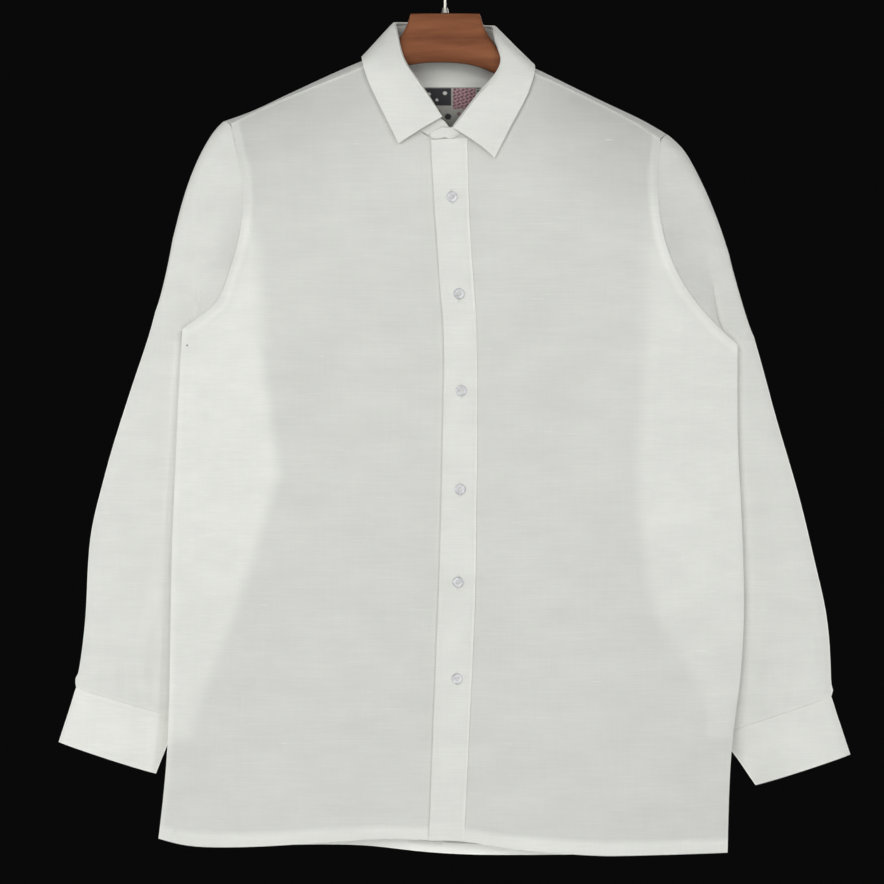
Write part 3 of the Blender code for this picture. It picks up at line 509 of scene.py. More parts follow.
def stitch_nodes():
    """Geometry nodes that lay even stitches along lines of points."""
    group = bpy.data.node_groups.new("stitches", "GeometryNodeTree")
    sockets = group.interface
    sockets.new_socket("Lines", in_out="INPUT", socket_type="NodeSocketGeometry")
    for name, value in (("Spacing", 0.0029), ("Length", 0.0021), ("Thickness", 0.0004)):
        sockets.new_socket(name, in_out="INPUT", socket_type="NodeSocketFloat").default_value = value
    sockets.new_socket("Seed", in_out="INPUT", socket_type="NodeSocketInt").default_value = 7
    sockets.new_socket("Thread", in_out="INPUT", socket_type="NodeSocketMaterial")
    sockets.new_socket("Stitches", in_out="OUTPUT", socket_type="NodeSocketGeometry")
    add = group.nodes.new
    link = group.links.new
    given = add("NodeGroupInput")
    made = add("NodeGroupOutput")
    curve = add("GeometryNodeMeshToCurve")
    spread = add("GeometryNodeResampleCurve")
    spread.mode = "LENGTH"
    tangent = add("GeometryNodeInputTangent")
    turn = add("FunctionNodeAlignRotationToVector")
    turn.axis = "X"
    ball = add("GeometryNodeMeshIcoSphere")
    ball.inputs["Radius"].default_value = 0.5
    ball.inputs["Subdivisions"].default_value = 2
    vary = add("FunctionNodeRandomValue")
    vary.data_type = "FLOAT_VECTOR"
    vary.inputs[0].default_value = (0.85, 0.9, 0.9)
    vary.inputs[1].default_value = (1.1, 1.1, 1.1)
    size = add("ShaderNodeCombineXYZ")
    uneven = add("ShaderNodeVectorMath")
    uneven.operation = "MULTIPLY"
    put = add("GeometryNodeInstanceOnPoints")
    real = add("GeometryNodeRealizeInstances")
    finish = add("GeometryNodeSetMaterial")
    link(given.outputs["Lines"], curve.inputs["Mesh"])
    link(curve.outputs["Curve"], spread.inputs["Curve"])
    link(given.outputs["Spacing"], spread.inputs["Length"])
    link(tangent.outputs["Tangent"], turn.inputs["Vector"])
    link(given.outputs["Length"], size.inputs["X"])
    link(given.outputs["Thickness"], size.inputs["Y"])
    link(given.outputs["Thickness"], size.inputs["Z"])
    link(given.outputs["Seed"], vary.inputs["Seed"])
    link(size.outputs["Vector"], uneven.inputs[0])
    link(vary.outputs["Value"], uneven.inputs[1])
    link(spread.outputs["Curve"], put.inputs["Points"])
    link(ball.outputs["Mesh"], put.inputs["Instance"])
    link(turn.outputs["Rotation"], put.inputs["Rotation"])
    link(uneven.outputs["Vector"], put.inputs["Scale"])
    link(put.outputs["Instances"], real.inputs["Geometry"])
    link(real.outputs["Geometry"], finish.inputs["Geometry"])
    link(given.outputs["Thread"], finish.inputs["Material"])
    link(finish.outputs["Geometry"], made.inputs["Stitches"])
    return group


stitches = stitch_nodes()
thread_material, tree, shader = new_material("white_thread")
ply = stretched_noise(tree, 900.0, (1.0, 1.0, 1.0), 1.0)
tone = ramp(tree, ply, (0.3, srgb(214, 215, 209)), (0.7, srgb(232, 233, 227)))
tree.links.new(tone, shader.inputs["Base Color"])
shader.inputs["Roughness"].default_value = 0.7


RAY_START = 0.3


def on_cloth(trees, x, down, facing, lift):
    """The point of the cloth that is met first from the front (facing -1) or the back (facing 1)."""
    best = None
    for surface in trees:
        hit = surface.ray_cast(Vector((x * MM, facing * RAY_START, -down * MM)), Vector((0.0, -facing, 0.0)))[0]
        if hit is not None and (best is None or hit.y * facing > best.y * facing):
            best = hit
    return None if best is None else best + Vector((0.0, facing * lift * MM, 0.0))


def sew(name, pieces, paths, facing=-1.0, spacing=2.9, length=2.1, thickness=0.4, step=4.0):
    """Stitches along paths of x and down, laid on the pieces' front or back."""
    shown = bpy.context.evaluated_depsgraph_get()
    trees = [BVHTree.FromObject(piece, shown) for piece in pieces]
    verts = []
    edges = []
    for path in paths:
        before = None
        for (x0, down0), (x1, down1) in zip(path, path[1:]):
            count = max(int(math.hypot(x1 - x0, down1 - down0) / step), 1)
            for i in range(count + 1):
                share = i / count
                here = on_cloth(trees, x0 + (x1 - x0) * share, down0 + (down1 - down0) * share, facing, 0.05)
                if here is None:
                    before = None
                    continue
                verts.append(here)
                if before is not None and (verts[before] - here).length > 1e-6:
                    edges.append((before, len(verts) - 1))
                before = len(verts) - 1
    mesh = bpy.data.meshes.new(name)
    mesh.from_pydata(verts, edges, [])
    lines = bpy.data.objects.new(name, mesh)
    bpy.context.scene.collection.objects.link(lines)
    sewing = lines.modifiers.new("sewing", "NODES")
    sewing.node_group = stitches
    values = {
        "Spacing": spacing * MM, "Length": length * MM, "Thickness": thickness * MM, "Thread": thread_material,
    }
    for item in stitches.interface.items_tree:
        if item.in_out == "INPUT" and item.name in values:
            sewing[item.identifier] = values[item.name]
    settled(lines)
    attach(lines, "root")
    return lines


def shifted(path, across, upward):
    """A path moved sideways and up."""
    return [(x + across, down - upward) for x, down in path]


front_pieces = {}
for side, node in (("right", "front_right"), ("left", "front_left")):
    panel = finer_copy(node, f"linen_front_{side}", 3)
    dress(panel, linen_body, "linen", node)
    x, down, depth = places(panel)
    outer = normals(panel)[:, 1] < -0.3
    tone = dressed_edges(x, down, body_tone(x, down), HEM_FRONT, [ARMHOLE_RIGHT, ARMHOLE_LEFT])
    if side == "right":
        # Painted shadow of the placket's raised left edge on the right front's hem band.
        beside = smooth(1.0 - distance_to(PLACKET_LEFT, x, down) / 2.6)
        tone -= 0.16 * beside * smooth((down - 888.0) / 6.0)
    paint(panel, np.minimum(tone, 1.05))
    fade = smooth((down - along(RIDGE, x) - 20.0) / 60.0)
    lift = folds(FRONT_FOLDS, x, down) * fade
    band = smooth((HEM_WIDTH - (along(HEM_FRONT, x) - down)) / 1.2)
    x, down = eased_armholes(x, down)
    move_to(panel, x, down, depth - lift - HEM_RAISED * band * outer)
    close_seam(panel, NECK_RIGHT if side == "right" else NECK_LEFT, 0.9)
    close_seam(panel, YOKE_SEAM_RIGHT if side == "right" else YOKE_SEAM_LEFT, 0.3)
    front_pieces[side] = panel

close_seam(yoke, YOKE_SEAM_RIGHT, 0.3)
close_seam(yoke, YOKE_SEAM_LEFT, 0.3)
panels = list(front_pieces.values())
yoke_rows = [shifted(YOKE_SEAM_RIGHT[::-1], 0, -2.2), shifted(YOKE_SEAM_LEFT[::-1], 0, -2.2)]
sew("yoke_seam_stitches", panels + [yoke], yoke_rows)
sew("hem_stitches_front", panels, [shifted(HEM_FRONT, 0, HEM_STITCHES)])
armhole_rows = [shifted(ARMHOLE_RIGHT[1:-1], 7.5, 0), shifted(ARMHOLE_LEFT[1:-1], -7.5, 0)]
sew("armhole_stitches", panels, armhole_rows, thickness=0.3)

# Slubs and one small stain
# Real linen has thicker bits of yarn, spun in and lying along the weft.
# A grey speck sits on the cloth under one armhole.

PICTURE_TOP = 66.5
SLUB_HEIGHT = 0.75
SPECK_PLACE = (-257, 345.5)
SPECK_LENGTH = 2.6
SPECK_HEIGHT = 2.4
SLUBS_FRONT = [
    (-57, 127, 8), (-89, 146, 8), (-127, 394, 28), (98, 431, 44), (126, 434, 16), (-65, 190, 12), (-130, 310, 14),
    (161, 142, 14), (215, 340, 16), (-132, 327, 7), (-122, 357, 7), (-64, 497, 13), (-84, 540, 10), (-178, 604, 14),
    (-205, 452, 12), (-92, 660, 12), (70, 522, 9), (183, 598, 13), (148, 680, 18), (60, 742, 14), (196, 794, 11),
    (-160, 742, 16), (-110, 806, 10), (-230, 700, 9), (42, 350, 10), (230, 500, 14), (250, 620, 10), (90, 300, 16),
]


def lay_on(name, pieces, rows, facing, height, material):
    """Small oval grains on the cloth: x, down below the photograph's top edge, length."""
    shown = bpy.context.evaluated_depsgraph_get()
    trees = [BVHTree.FromObject(piece, shown) for piece in pieces]
    work = bmesh.new()
    for number, (x, down, length) in enumerate(rows):
        place = on_cloth(trees, x, down + PICTURE_TOP, facing, -0.02)
        if place is None:
            continue
        grain = bmesh.ops.create_icosphere(work, subdivisions=2, radius=0.5)
        thick = height * (0.85 + 0.1 * (number % 4))
        for vert in grain["verts"]:
            vert.co = Vector((vert.co.x * length * MM, vert.co.y * 0.35 * MM, vert.co.z * thick * MM)) + place
    mesh = bpy.data.meshes.new(name)
    work.to_mesh(mesh)
    work.free()
    mesh.shade_smooth()
    obj = bpy.data.objects.new(name, mesh)
    bpy.context.scene.collection.objects.link(obj)
    return dress(obj, material, "linen")


lay_on("slubs_front", panels, SLUBS_FRONT, -1.0, SLUB_HEIGHT, thread_material)
speck_material, tree, shader = new_material("grey_speck")
blot = stretched_noise(tree, 900.0, (1.0, 1.0, 1.0), 1.0)
tone = ramp(tree, blot, (0.3, srgb(110, 110, 104)), (0.7, srgb(150, 150, 143)))
tree.links.new(tone, shader.inputs["Base Color"])
lay_on("grey_speck", panels, [(*SPECK_PLACE, SPECK_LENGTH)], -1.0, SPECK_HEIGHT, speck_material)

# Front placket
# The real piece is a doubled band of linen with the buttonholes.
# It is folded and edge-stitched along the left front.

PLACKET_RIGHT = [(22, 208), (24, 290), (27, 336.5), (32, 396.5), (32, 506.5), (30, 666.5), (19, 903)]

placket = finer_copy("front_placket", "linen_placket", 4)
dress(placket, linen_body, "linen", "front_placket")
x, down, depth = places(placket)
# Painted highlight on the placket's right edge.
edge = smooth((1.6 - distance_to(PLACKET_RIGHT, x, down)) / 1.0)
paint(placket, 0.955 + 0.02 * smooth((down - 880.0) / 20.0) + 0.12 * edge)
fade = smooth((down - 150.0) / 60.0)
move_to(placket, x, down, depth - folds(FRONT_FOLDS, x, down) * fade)

BUTTONS_FRONT = [(7, 265.5), (14, 361.5), (16, 457.5), (15, 555.5), (13, 647.5), (12, 743.5)]
BUTTONHOLE_HALF_LENGTH = 8.5
BUTTONHOLE_HALF_WIDTH = 0.9
placket_rows = [shifted(PLACKET_LEFT, 2.6, 0), shifted(PLACKET_LEFT, 5.4, 0), shifted(PLACKET_RIGHT, -3.4, 0)]
sew("placket_stitches", [placket], placket_rows)
edges = []
for x, down in BUTTONS_FRONT:
    for edge_x in (x - BUTTONHOLE_HALF_WIDTH, x + BUTTONHOLE_HALF_WIDTH):
        edges.append([(edge_x, down - BUTTONHOLE_HALF_LENGTH), (edge_x, down + BUTTONHOLE_HALF_LENGTH)])
sew("buttonhole_edges", [placket], edges, spacing=0.55, length=0.5, thickness=0.8, step=2.0)

# Back panel
# The real piece is single linen, sewn to the yoke's back edge.
# It hangs free behind, and is turned up in a narrow hem.

BACK_FOLDS = [
    (-150, 330, 180, 84, 14, 1.0), (-40, 320, 170, 92, 12, 1.1), (90, 330, 190, 95, 15, 0.9),
    (180, 420, 220, 104, 13, 0.9), (-190, 520, 240, 78, 16, 0.9), (-70, 560, 260, 12, 15, 0.8),
    (60, 640, 260, -10, 17, 0.8), (-140, 760, 240, 66, 18, 0.9), (130, 800, 220, 96, 14, 1.0),
    (0, 820, 260, 4, 14, -0.8), (220, 680, 200, 82, 12, 0.8), (-230, 860, 150, 90, 10, 0.7),
]

BACK_TONE = 0.865
STRIP_FORWARD = 5.0
YOKE_BACK_ROWS = (229.8, 226.5)
SLUBS_BACK = [
    (-140, 260, 14), (-60, 330, 10), (40, 290, 16), (120, 360, 12), (-190, 450, 12), (-20, 480, 18), (90, 540, 10),
    (170, 620, 14), (-120, 640, 12), (-40, 720, 14), (60, 780, 10), (200, 760, 12), (-210, 790, 14),
]

back = finer_copy("back", "linen_back", 3)
dress(back, linen_body, "linen", "back")
x, down, depth = places(back)
outer = normals(back)[:, 1] > 0.3
tone = dressed_edges(x, down, np.full(x.shape, BACK_TONE), HEM_BACK, [])
# Painted light on the inside of the back's hem strip, where it shows below the front hem.
inner = normals(back)[:, 1] < 0.0
low_strip = smooth((16.0 - (along(HEM_BACK, x) - down)) / 3.0)
paint(back, tone + 0.52 * low_strip * inner)
fade = smooth((down - 250.0) / 40.0)
band = smooth((HEM_WIDTH - (along(HEM_BACK, x) - down)) / 1.2)
forward = STRIP_FORWARD * low_strip * smooth((250.0 - np.abs(x)) / 60.0)
move_to(back, x, down, depth + folds(BACK_FOLDS, x, down) * fade + HEM_RAISED * band * outer - forward)
sew("hem_stitches_back", [back], [shifted(HEM_BACK, 0, HEM_STITCHES)], facing=1.0)
sew("yoke_stitches_back", [yoke], [[(-203, row), (208, row)] for row in YOKE_BACK_ROWS], facing=1.0)
lay_on("slubs_back", [back], SLUBS_BACK, 1.0, SLUB_HEIGHT, thread_material)

# Sleeves
# The real pieces are single linen tubes, set into the armholes, with their inner part behind the body.
# Each has a slit above the cuff, closed with a doubled strip.

SLEEVE_FOLDS = [
    (-232, 300, 190, 78, 9, 0.9), (-262, 380, 200, 98, 12, 1.0), (-300, 520, 220, 104, 16, 1.0),
    (-325, 640, 180, 92, 12, 0.9), (-290, 700, 150, 84, 10, -0.8), (-345, 720, 70, 100, 6, 0.8),
    (-300, 750, 60, 80, 5, 0.8), (-322, 742, 66, 92, 5, -0.7),
    (244, 300, 190, 108, 9, 0.9), (272, 390, 200, 84, 12, 1.0), (318, 540, 220, 78, 16, 1.0),
    (345, 640, 180, 84, 12, 0.9), (318, 700, 150, 94, 10, -0.8), (368, 720, 80, 84, 6, 0.9),
    (322, 760, 60, 96, 5, 0.8), (345, 750, 66, 86, 5, -0.7),
]
SLIT_RIGHT = [
    (-297, 638), (-279, 638), (-279, 643), (-288, 643), (-289, 680), (-300, 713.5), (-312, 713.5), (-299, 660),
]
# Middle of the area that is evened below each armhole, and the body's side seam beside it
UNDERARMS = {"right": (-250.0, 366.0, SIDE_RIGHT), "left": (276.0, 384.0, SIDE_LEFT)}
UNDERARM_RADIUS = 46.0
EASING_ROUNDS = 60
CALMING_ROUNDS = 130
CUFF_SEAMS = {
    "right": [(-369.7, 755.3), (-269.2, 785.9)],
    "left": [(387.1, 763.9), (272.3, 803.4)],
}


def around(values, known):
    """Mean of the known neighbours of every cell, and how many there are."""
    total = np.zeros(values.shape)
    count = np.zeros(values.shape)
    for axis, step in ((0, 1), (0, -1), (1, 1), (1, -1)):
        total += np.roll(np.where(known, values, 0.0), step, axis)
        count += np.roll(known, step, axis)
    return total / np.maximum(count, 1.0), count


def at_cells(values, row, column):
    """Values between the cells of a grid, for points given in cells."""
    row = np.clip(row, 0.0, values.shape[0] - 1.001)
    column = np.clip(column, 0.0, values.shape[1] - 1.001)
    i = row.astype(int)
    j = column.astype(int)
    share_i = row - i
    share_j = column - j
    near = values[i, j] * (1.0 - share_j) + values[i, j + 1] * share_j
    far = values[i + 1, j] * (1.0 - share_j) + values[i + 1, j + 1] * share_j
    return near * (1.0 - share_i) + far * share_i


def eased_step(obj, middle_x, middle_down, radius, armhole, side_seam, rounds):
    """Draws out the step beside the armhole, so that the sleeve's front runs softly into the seam."""
    tree = BVHTree.FromObject(obj, bpy.context.evaluated_depsgraph_get())
    pitch = 2.0
    reach = radius + 4.0
    steps = np.arange(-reach, reach, pitch)
    grid_x, grid_down = np.meshgrid(middle_x + steps, middle_down + steps, indexing="ij")
    path = armhole + side_seam[1:]
    border = np.interp(grid_down, [p[1] for p in path], [p[0] for p in path])
    front = np.full(grid_x.shape, np.nan)
    for i, j in zip(*np.nonzero(np.abs(grid_x) > np.abs(border))):
        hit = on_cloth([tree], grid_x[i, j], grid_down[i, j], -1.0, 0.0)
        if hit is not None:
            front[i, j] = hit.y / MM
    known = ~np.isnan(front)
    free = known & (distance_to(armhole, grid_x, grid_down) > 2.5)
    eased = front
    for _ in range(rounds):
        mean, count = around(eased, known)
        eased = np.where(free & (count > 0), 0.5 * (eased + mean), eased)
    for _ in range(3):
        mean, count = around(eased, known)
        fresh = ~known & (count > 0)
        eased = np.where(fresh, mean, eased)
        known = known | fresh
    eased = np.where(known, eased, 0.0)
    x, down, depth = places(obj)
    target = at_cells(eased, (x - grid_x[0, 0]) / pitch, (down - grid_down[0, 0]) / pitch)
    away = distance_to(armhole, x, down)
    share = smooth((radius - np.hypot(x - middle_x, down - middle_down)) / 20.0) * smooth((away - 1.5) / 9.0)
    first = np.full(x.shape, -1000.0)
    for i in np.nonzero(share > 0)[0]:
        hit = on_cloth([tree], x[i], down[i], -1.0, 0.0)
        if hit is not None:
            first[i] = hit.y / MM
    behind = np.maximum(depth - first, 0.0)
    share *= (behind < 1.8) | ((behind < 6.5) & (away < 30.0))
    move_to(obj, x, down, depth + share * (target + np.minimum(0.5 * behind, 0.6) - depth))


def sleeve_tone(x, down, armhole, front):
    """Painted tone of a sleeve: painted shade by the armhole and a darker line along its upper seam, painted light
    along the body, and lighter over the slit's strip.
    """
    near = distance_to(armhole, x, down)
    shadow = smooth(1.0 - near / 34.0) * smooth((420.0 - down) / 120.0)
    shadow = shadow * (0.25 + 0.75 * smooth((down - 250.0) / 60.0))
    strip = soft_area(SLIT_RIGHT, x, down, 3.0)
    beside = smooth(1.0 - np.minimum(distance_to(SIDE_RIGHT, x, down), distance_to(SIDE_LEFT, x, down)) / 12.0)
    level = 0.928 + 0.027 * smooth((down - 380.0) / 120.0)
    level -= 0.07 * smooth(1.0 - near / 2.4) * smooth((375.0 - down) / 10.0)
    glow = np.where(x < 0, 0.15, 0.14) * beside * front * smooth((down - 400.0) / 20.0)
    return level - 0.11 * shadow + 0.03 * strip + glow


for side, node, armhole in (("right", "sleeve_right", ARMHOLE_RIGHT), ("left", "sleeve_left", ARMHOLE_LEFT)):
    sleeve = finer_copy(node, f"linen_sleeve_{side}", 3, crisp_angle=80.0)
    dress(sleeve, linen_body, "linen", node)
    x, down, depth = places(sleeve)
    fade = smooth((distance_to(armhole, x, down) - 14.0) / 40.0)
    flare = np.where(x < 0, -2.4, 1.8) * np.exp(-(((down - np.where(x < 0, 747.0, 757.5)) / 4.5) ** 2))
    flare *= smooth((np.abs(x) - 330.0) / 30.0)
    x, down = eased_armholes(x, down)
    move_to(sleeve, x + flare, down, depth - folds(SLEEVE_FOLDS, x, down) * fade)
    seam = [eased_armholes(*point) for point in armhole]
    middle_x, middle_down, side_seam = UNDERARMS[side]
    eased_step(sleeve, middle_x, middle_down, UNDERARM_RADIUS, seam, side_seam, EASING_ROUNDS)
    calmed(sleeve, middle_x, middle_down - 16.0, UNDERARM_RADIUS, seam, CALMING_ROUNDS)
    close_seam(sleeve, seam, 0.8)
    close_seam(sleeve, shifted(seam[4:], -1.5 if side == "left" else 1.5, -1.5), 6.0, 20.0)
    x, down, depth = places(sleeve)
    tucked = 0.8 * smooth((6.0 - distance_to(seam[4:], x, down)) / 4.0)
    move_to(sleeve, x, down, depth + np.where(depth < -1.0, tucked, -tucked))
    close_seam(sleeve, CUFF_SEAMS[side], 0.3)
    x, down, depth = places(sleeve)
    front = smooth(-2.0 * normals(sleeve)[:, 1])
    tone = edge_glow(sleeve, sleeve_tone(x, down, seam, front), 0.42)
    # Painted shade: the wearer's left sleeve is painted darker, a little less so lower down.
    if side == "left":
        tone = tone * (0.925 + 0.032 * smooth((down - 380.0) / 160.0))
    paint(sleeve, tone)

STRIP_TONE = 0.97

for side in ("right", "left"):
    strip = finer_copy(f"sleeve_placket_{side}", f"linen_sleeve_strip_{side}", 3)
    dress(strip, linen_body, "linen", f"sleeve_placket_{side}")
    x, down, depth = places(strip)
    paint(strip, np.full(x.shape, STRIP_TONE))

# Cuffs
# The real pieces are doubled linen barrels, pressed flat.
# Each is sewn to its sleeve and closed with one button at the back.

CUFF_ENDS = {
    "right": [(-382, 805.0), (-294, 835.0)],
    "left": [(401, 817.5), (314, 847.0)],
}
# Painted light and shade: the wearer's right cuff is painted lighter and the left one darker.
CUFF_LIGHT_AND_SHADE = {"right": 1.055, "left": 0.965}

for side, level in CUFF_LIGHT_AND_SHADE.items():
    cuff = finer_copy(f"cuff_{side}", f"linen_cuff_{side}", 3)
    dress(cuff, linen_body, "linen", f"cuff_{side}")
    x, down, depth = places(cuff)
    paint(cuff, edge_glow(cuff, np.full(x.shape, level), 0.20))
    close_seam(cuff, CUFF_SEAMS[side], 0.3)
    rows = [shifted(CUFF_SEAMS[side], 0, -5.0), CUFF_ENDS[side]]
    for facing, face in ((-1.0, "front"), (1.0, "back")):
        sew(f"cuff_stitches_{side}_{face}", [cuff], rows, facing=facing)

# Collar
# The real pieces are a stand sewn round the neckline and a stiffened leaf.
# Both are doubled linen, and the leaf is folded down over the stand.

COLLAR_TONE = 0.93
LEAF_TONE = 0.945


def lowered_corner(obj):
    """Lets the over end of the collar hang a little lower, as it does when buttoned."""
    x, down, depth = places(obj)
    share = np.clip(1.0 - np.hypot(x - 8.0, down - 190.0) / 38.0, 0.0, 1.0)
    move_to(obj, x, down + 5.5 * share * smooth((x + 3.0) / 8.0) * (depth < -15.0), depth)


stand = finer_copy("collar_stand", "linen_collar_stand", 3)
dress(stand, linen_body, "linen", "collar_stand")
x, down, depth = places(stand)
inner = (depth > 0) & (normals(stand)[:, 1] < 0)
# Painted shadow of the wooden bar on the inside of the stand, just below its lower edge.
under = smooth((7.0 - np.abs(down - along(WOOD_LOWER, x))) / 3.0) * smooth((56.0 - np.abs(x)) / 8.0)
paint(stand, np.where(inner, COLLAR_TONE - 0.10 * under, COLLAR_TONE))
lowered_corner(stand)
close_seam(stand, NECK_RIGHT, 1.5, 7.0)
close_seam(stand, NECK_LEFT, 1.3, 7.0)

leaf = finer_copy("collar_leaf", "linen_collar_leaf", 3)
dress(leaf, linen_body, "linen", "collar_leaf")
x, down, depth = places(leaf)
paint(leaf, edge_glow(leaf, np.full(x.shape, LEAF_TONE), 0.15))
lowered_corner(leaf)
sew("collar_stitches", [leaf], [
    [(-10, 191), (-44.5, 205.5), (-52.3, 189), (-62.3, 169), (-69.3, 155), (-74.5, 142)],
    [(13, 188.5), (47.2, 219.5), (61.2, 190.5), (74.4, 168.5), (79.5, 157), (83, 146)],
], thickness=0.35)

# Neck label
# The real piece is a small dark woven label.
# It is sewn inside the back of the yoke, where the open collar shows it.

# Areas of the pattern: left, right, top and foot
DARK_FIELD = (-24, 6, 152, 170)
ROSE_BLOCK = (8, 31, 152, 173)
SIDE_MARKS = (31.8, 35, 152, 173)
PALE_DOT = srgb(196, 196, 190)
DARK_SPOT = srgb(44, 44, 48)
ROSE_SPOT = srgb(128, 98, 104)
# Round spots: x, down, radius and colour
LABEL_SPOTS = [
    (-16, 158, 1.7, PALE_DOT), (-8, 164, 1.5, PALE_DOT), (0, 157, 1.9, PALE_DOT),
    (3, 181, 3.2, DARK_SPOT), (14, 178, 1.8, ROSE_SPOT), (-6, 176, 1.8, ROSE_SPOT),
]


def inside(area, x, down):
    """Which points lie in an upright area."""
    left, right, top, foot = area
    return (x > left) & (x < right) & (down > top) & (down < foot)


label_material, tree, shader = new_material("woven_label")
painted = tree.nodes.new("ShaderNodeAttribute")
painted.attribute_name = "pattern"
tree.links.new(painted.outputs["Color"], shader.inputs["Base Color"])
shader.inputs["Roughness"].default_value = 0.8

label = finer_copy("neck_label", "woven_neck_label", 5)
dress(label, label_material, "label", "neck_label")
x, down, depth = places(label)
colours = np.tile(np.array(srgb(160, 160, 153)), (len(x), 1))
colours[inside(DARK_FIELD, x, down)] = srgb(40, 40, 46)
mottled = np.sin(x * 1.5 + 1.4 * np.sin(down * 1.3)) + np.sin(down * 1.9 + x * 0.6) > 0.1
block = inside(ROSE_BLOCK, x, down)
colours[block] = srgb(172, 134, 142)
colours[block & mottled] = srgb(98, 74, 80)
colours[inside(SIDE_MARKS, x, down) & (np.sin(down * 2.2) > 0)] = srgb(60, 60, 62)
for middle_x, middle_down, radius, colour in LABEL_SPOTS:
    colours[np.hypot(x - middle_x, down - middle_down) < radius] = colour
layer = label.data.color_attributes.new("pattern", "FLOAT_COLOR", "POINT")
opaque = np.concatenate([colours, np.ones((len(x), 1))], axis=1)
layer.data.foreach_set("color", opaque.reshape(-1).astype(np.float32))

# Buttons
# The real pieces are small clear shell buttons with four holes.
# Each is sewn on with white thread that crosses between the holes.

shell_material, tree, shader = new_material("clear_shell")
swirl = stretched_noise(tree, 260.0, (1.0, 1.0, 1.0), 2.0)
tone = ramp(tree, swirl, (0.35, srgb(188, 188, 192)), (0.65, srgb(226, 226, 228)))
tree.links.new(tone, shader.inputs["Base Color"])
shader.inputs["Roughness"].default_value = 0.18
shader.inputs["Coat Weight"].default_value = 0.5

HOLE_RADIUS = 0.8
HOLE_OFFSET = 1.35
# Flat buttons without a shank sink a little into the cloth
BUTTON_SINK = 0.9
# The thread's two bars cross at 45 degrees
BAR_LENGTH = 3.9
BAR_WIDTH = 0.55
BAR_HEIGHT = 0.6
BAR_DEPTH = 0.45
DIAGONAL = 0.707

for node in [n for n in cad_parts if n.startswith("button_")]:
    piece = finer_copy(node, node.replace("button", "shell_button"), 2, crisp_angle=55.0)
    low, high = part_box(node)
    middle = (Vector(low) + Vector(high)) / 2
    work = bmesh.new()
    for x in (-HOLE_OFFSET, HOLE_OFFSET):
        for z in (-HOLE_OFFSET, HOLE_OFFSET):
            hole = bmesh.ops.create_cone(
                work, cap_ends=True, segments=14, radius1=HOLE_RADIUS * MM, radius2=HOLE_RADIUS * MM, depth=8 * MM
            )
            for vert in hole["verts"]:
                vert.co = Vector((vert.co.x + x * MM, -vert.co.z, vert.co.y + z * MM)) + middle
    cutter_mesh = bpy.data.meshes.new("holes")
    work.to_mesh(cutter_mesh)
    work.free()
    cutter = bpy.data.objects.new("holes", cutter_mesh)
    bpy.context.scene.collection.objects.link(cutter)
    pierce = piece.modifiers.new("pierce", "BOOLEAN")
    pierce.operation = "DIFFERENCE"
    pierce.object = cutter
    settled(piece)
    bpy.data.objects.remove(cutter)
    dress(piece, shell_material, "shell", node)
    facing = 1.0 if "cuff" in node else -1.0
    x, down, depth = places(piece)
    move_to(piece, x, down, depth - facing * BUTTON_SINK)
    top = (high[1] if facing > 0 else low[1]) - facing * (BAR_DEPTH + BUTTON_SINK) * MM
    work = bmesh.new()
    for slope in (-1, 1):
        bar = bmesh.ops.create_icosphere(work, subdivisions=2, radius=0.5)
        for vert in bar["verts"]:
            run = vert.co.x * BAR_LENGTH * MM
            side_step = vert.co.z * BAR_WIDTH * MM
            vert.co = Vector((
                middle.x + (run - slope * side_step) * DIAGONAL, top + vert.co.y * BAR_HEIGHT * MM,
                middle.z + (slope * run + side_step) * DIAGONAL,
            ))
    thread_mesh = bpy.data.meshes.new(f"{node}_thread")
    work.to_mesh(thread_mesh)
    work.free()
    thread_mesh.shade_smooth()
    thread = bpy.data.objects.new(f"{node}_thread", thread_mesh)
    bpy.context.scene.collection.objects.link(thread)
    dress(thread, thread_material, "linen")

# Room
# A pale studio floor lies below the shirt, in a dark surround as in the photograph.
# Four soft lights stand in front, one behind and one at each side.

CAMERA_AWAY = 3.2
PICTURE_WIDTH = 0.884
SENSOR = 36.0
FLOOR_HALF = 2.5
FLOOR_HEIGHT = -1.6

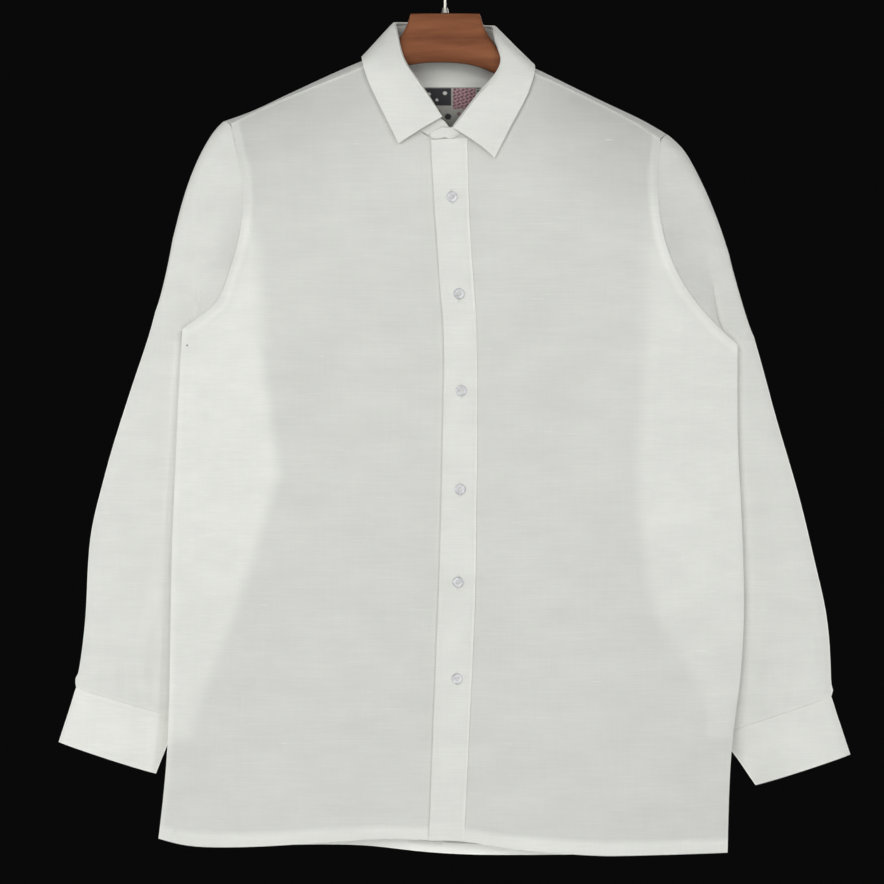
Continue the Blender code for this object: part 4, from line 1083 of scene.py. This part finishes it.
floor_material, tree, shader = new_material("pale_floor")
clouds = stretched_noise(tree, 4.0, (1.0, 1.0, 1.0), 3.0)
tone = ramp(tree, clouds, (0.3, (0.5,) * 3), (0.7, (0.53,) * 3))
tree.links.new(tone, shader.inputs["Base Color"])
shader.inputs["Roughness"].default_value = 0.8
floor_mesh = bpy.data.meshes.new("floor")
corners = [
    (across * FLOOR_HALF, back_way * FLOOR_HALF, FLOOR_HEIGHT)
    for across, back_way in ((-1, -1), (1, -1), (1, 1), (-1, 1))
]
floor_mesh.from_pydata(corners, [], [(0, 1, 2, 3)])
floor_mesh.materials.append(floor_material)
floor = bpy.data.objects.new("floor", floor_mesh)
bpy.context.scene.collection.objects.link(floor)


def soft_light(name, place, size, power):
    """A round soft light that faces the middle of the shirt."""
    data = bpy.data.lights.new(name, "AREA")
    data.shape = "DISK"
    data.size = size
    data.energy = power
    light = bpy.data.objects.new(name, data)
    light.location = place
    light.rotation_euler = (Vector((0.0, 0.0, -0.45)) - Vector(place)).to_track_quat("-Z", "Y").to_euler()
    bpy.context.scene.collection.objects.link(light)


soft_light("key", (-1.3, -3.6, 0.5), 2.6, 77.0)
soft_light("fill", (1.6, -3.6, -0.2), 2.6, 33.0)
soft_light("upper", (1.7, -2.7, 1.3), 0.32, 14.0)
soft_light("low", (0.2, -3.4, -1.35), 1.8, 20.0)
soft_light("rear", (0.6, 3.0, 0.9), 2.6, 100.0)
soft_light("side right", (-3.0, -0.5, -0.2), 1.6, 20.0)
soft_light("side left", (3.0, -0.5, -0.2), 1.6, 13.0)
world = bpy.data.worlds.new("surround")
world.use_nodes = True
world.node_tree.nodes["Background"].inputs["Color"].default_value = (0.003, 0.003, 0.003, 1.0)
bpy.context.scene.world = world
bpy.context.scene.view_settings.view_transform = "Standard"

camera_data = bpy.data.cameras.new("camera")
camera_data.sensor_width = SENSOR
camera_data.lens = SENSOR * CAMERA_AWAY / PICTURE_WIDTH
camera = bpy.data.objects.new("camera", camera_data)
camera.location = (-0.003, -CAMERA_AWAY, -0.5085)
camera.rotation_euler = (math.radians(90), 0.0, 0.0)
bpy.context.scene.collection.objects.link(camera)
bpy.context.scene.camera = camera
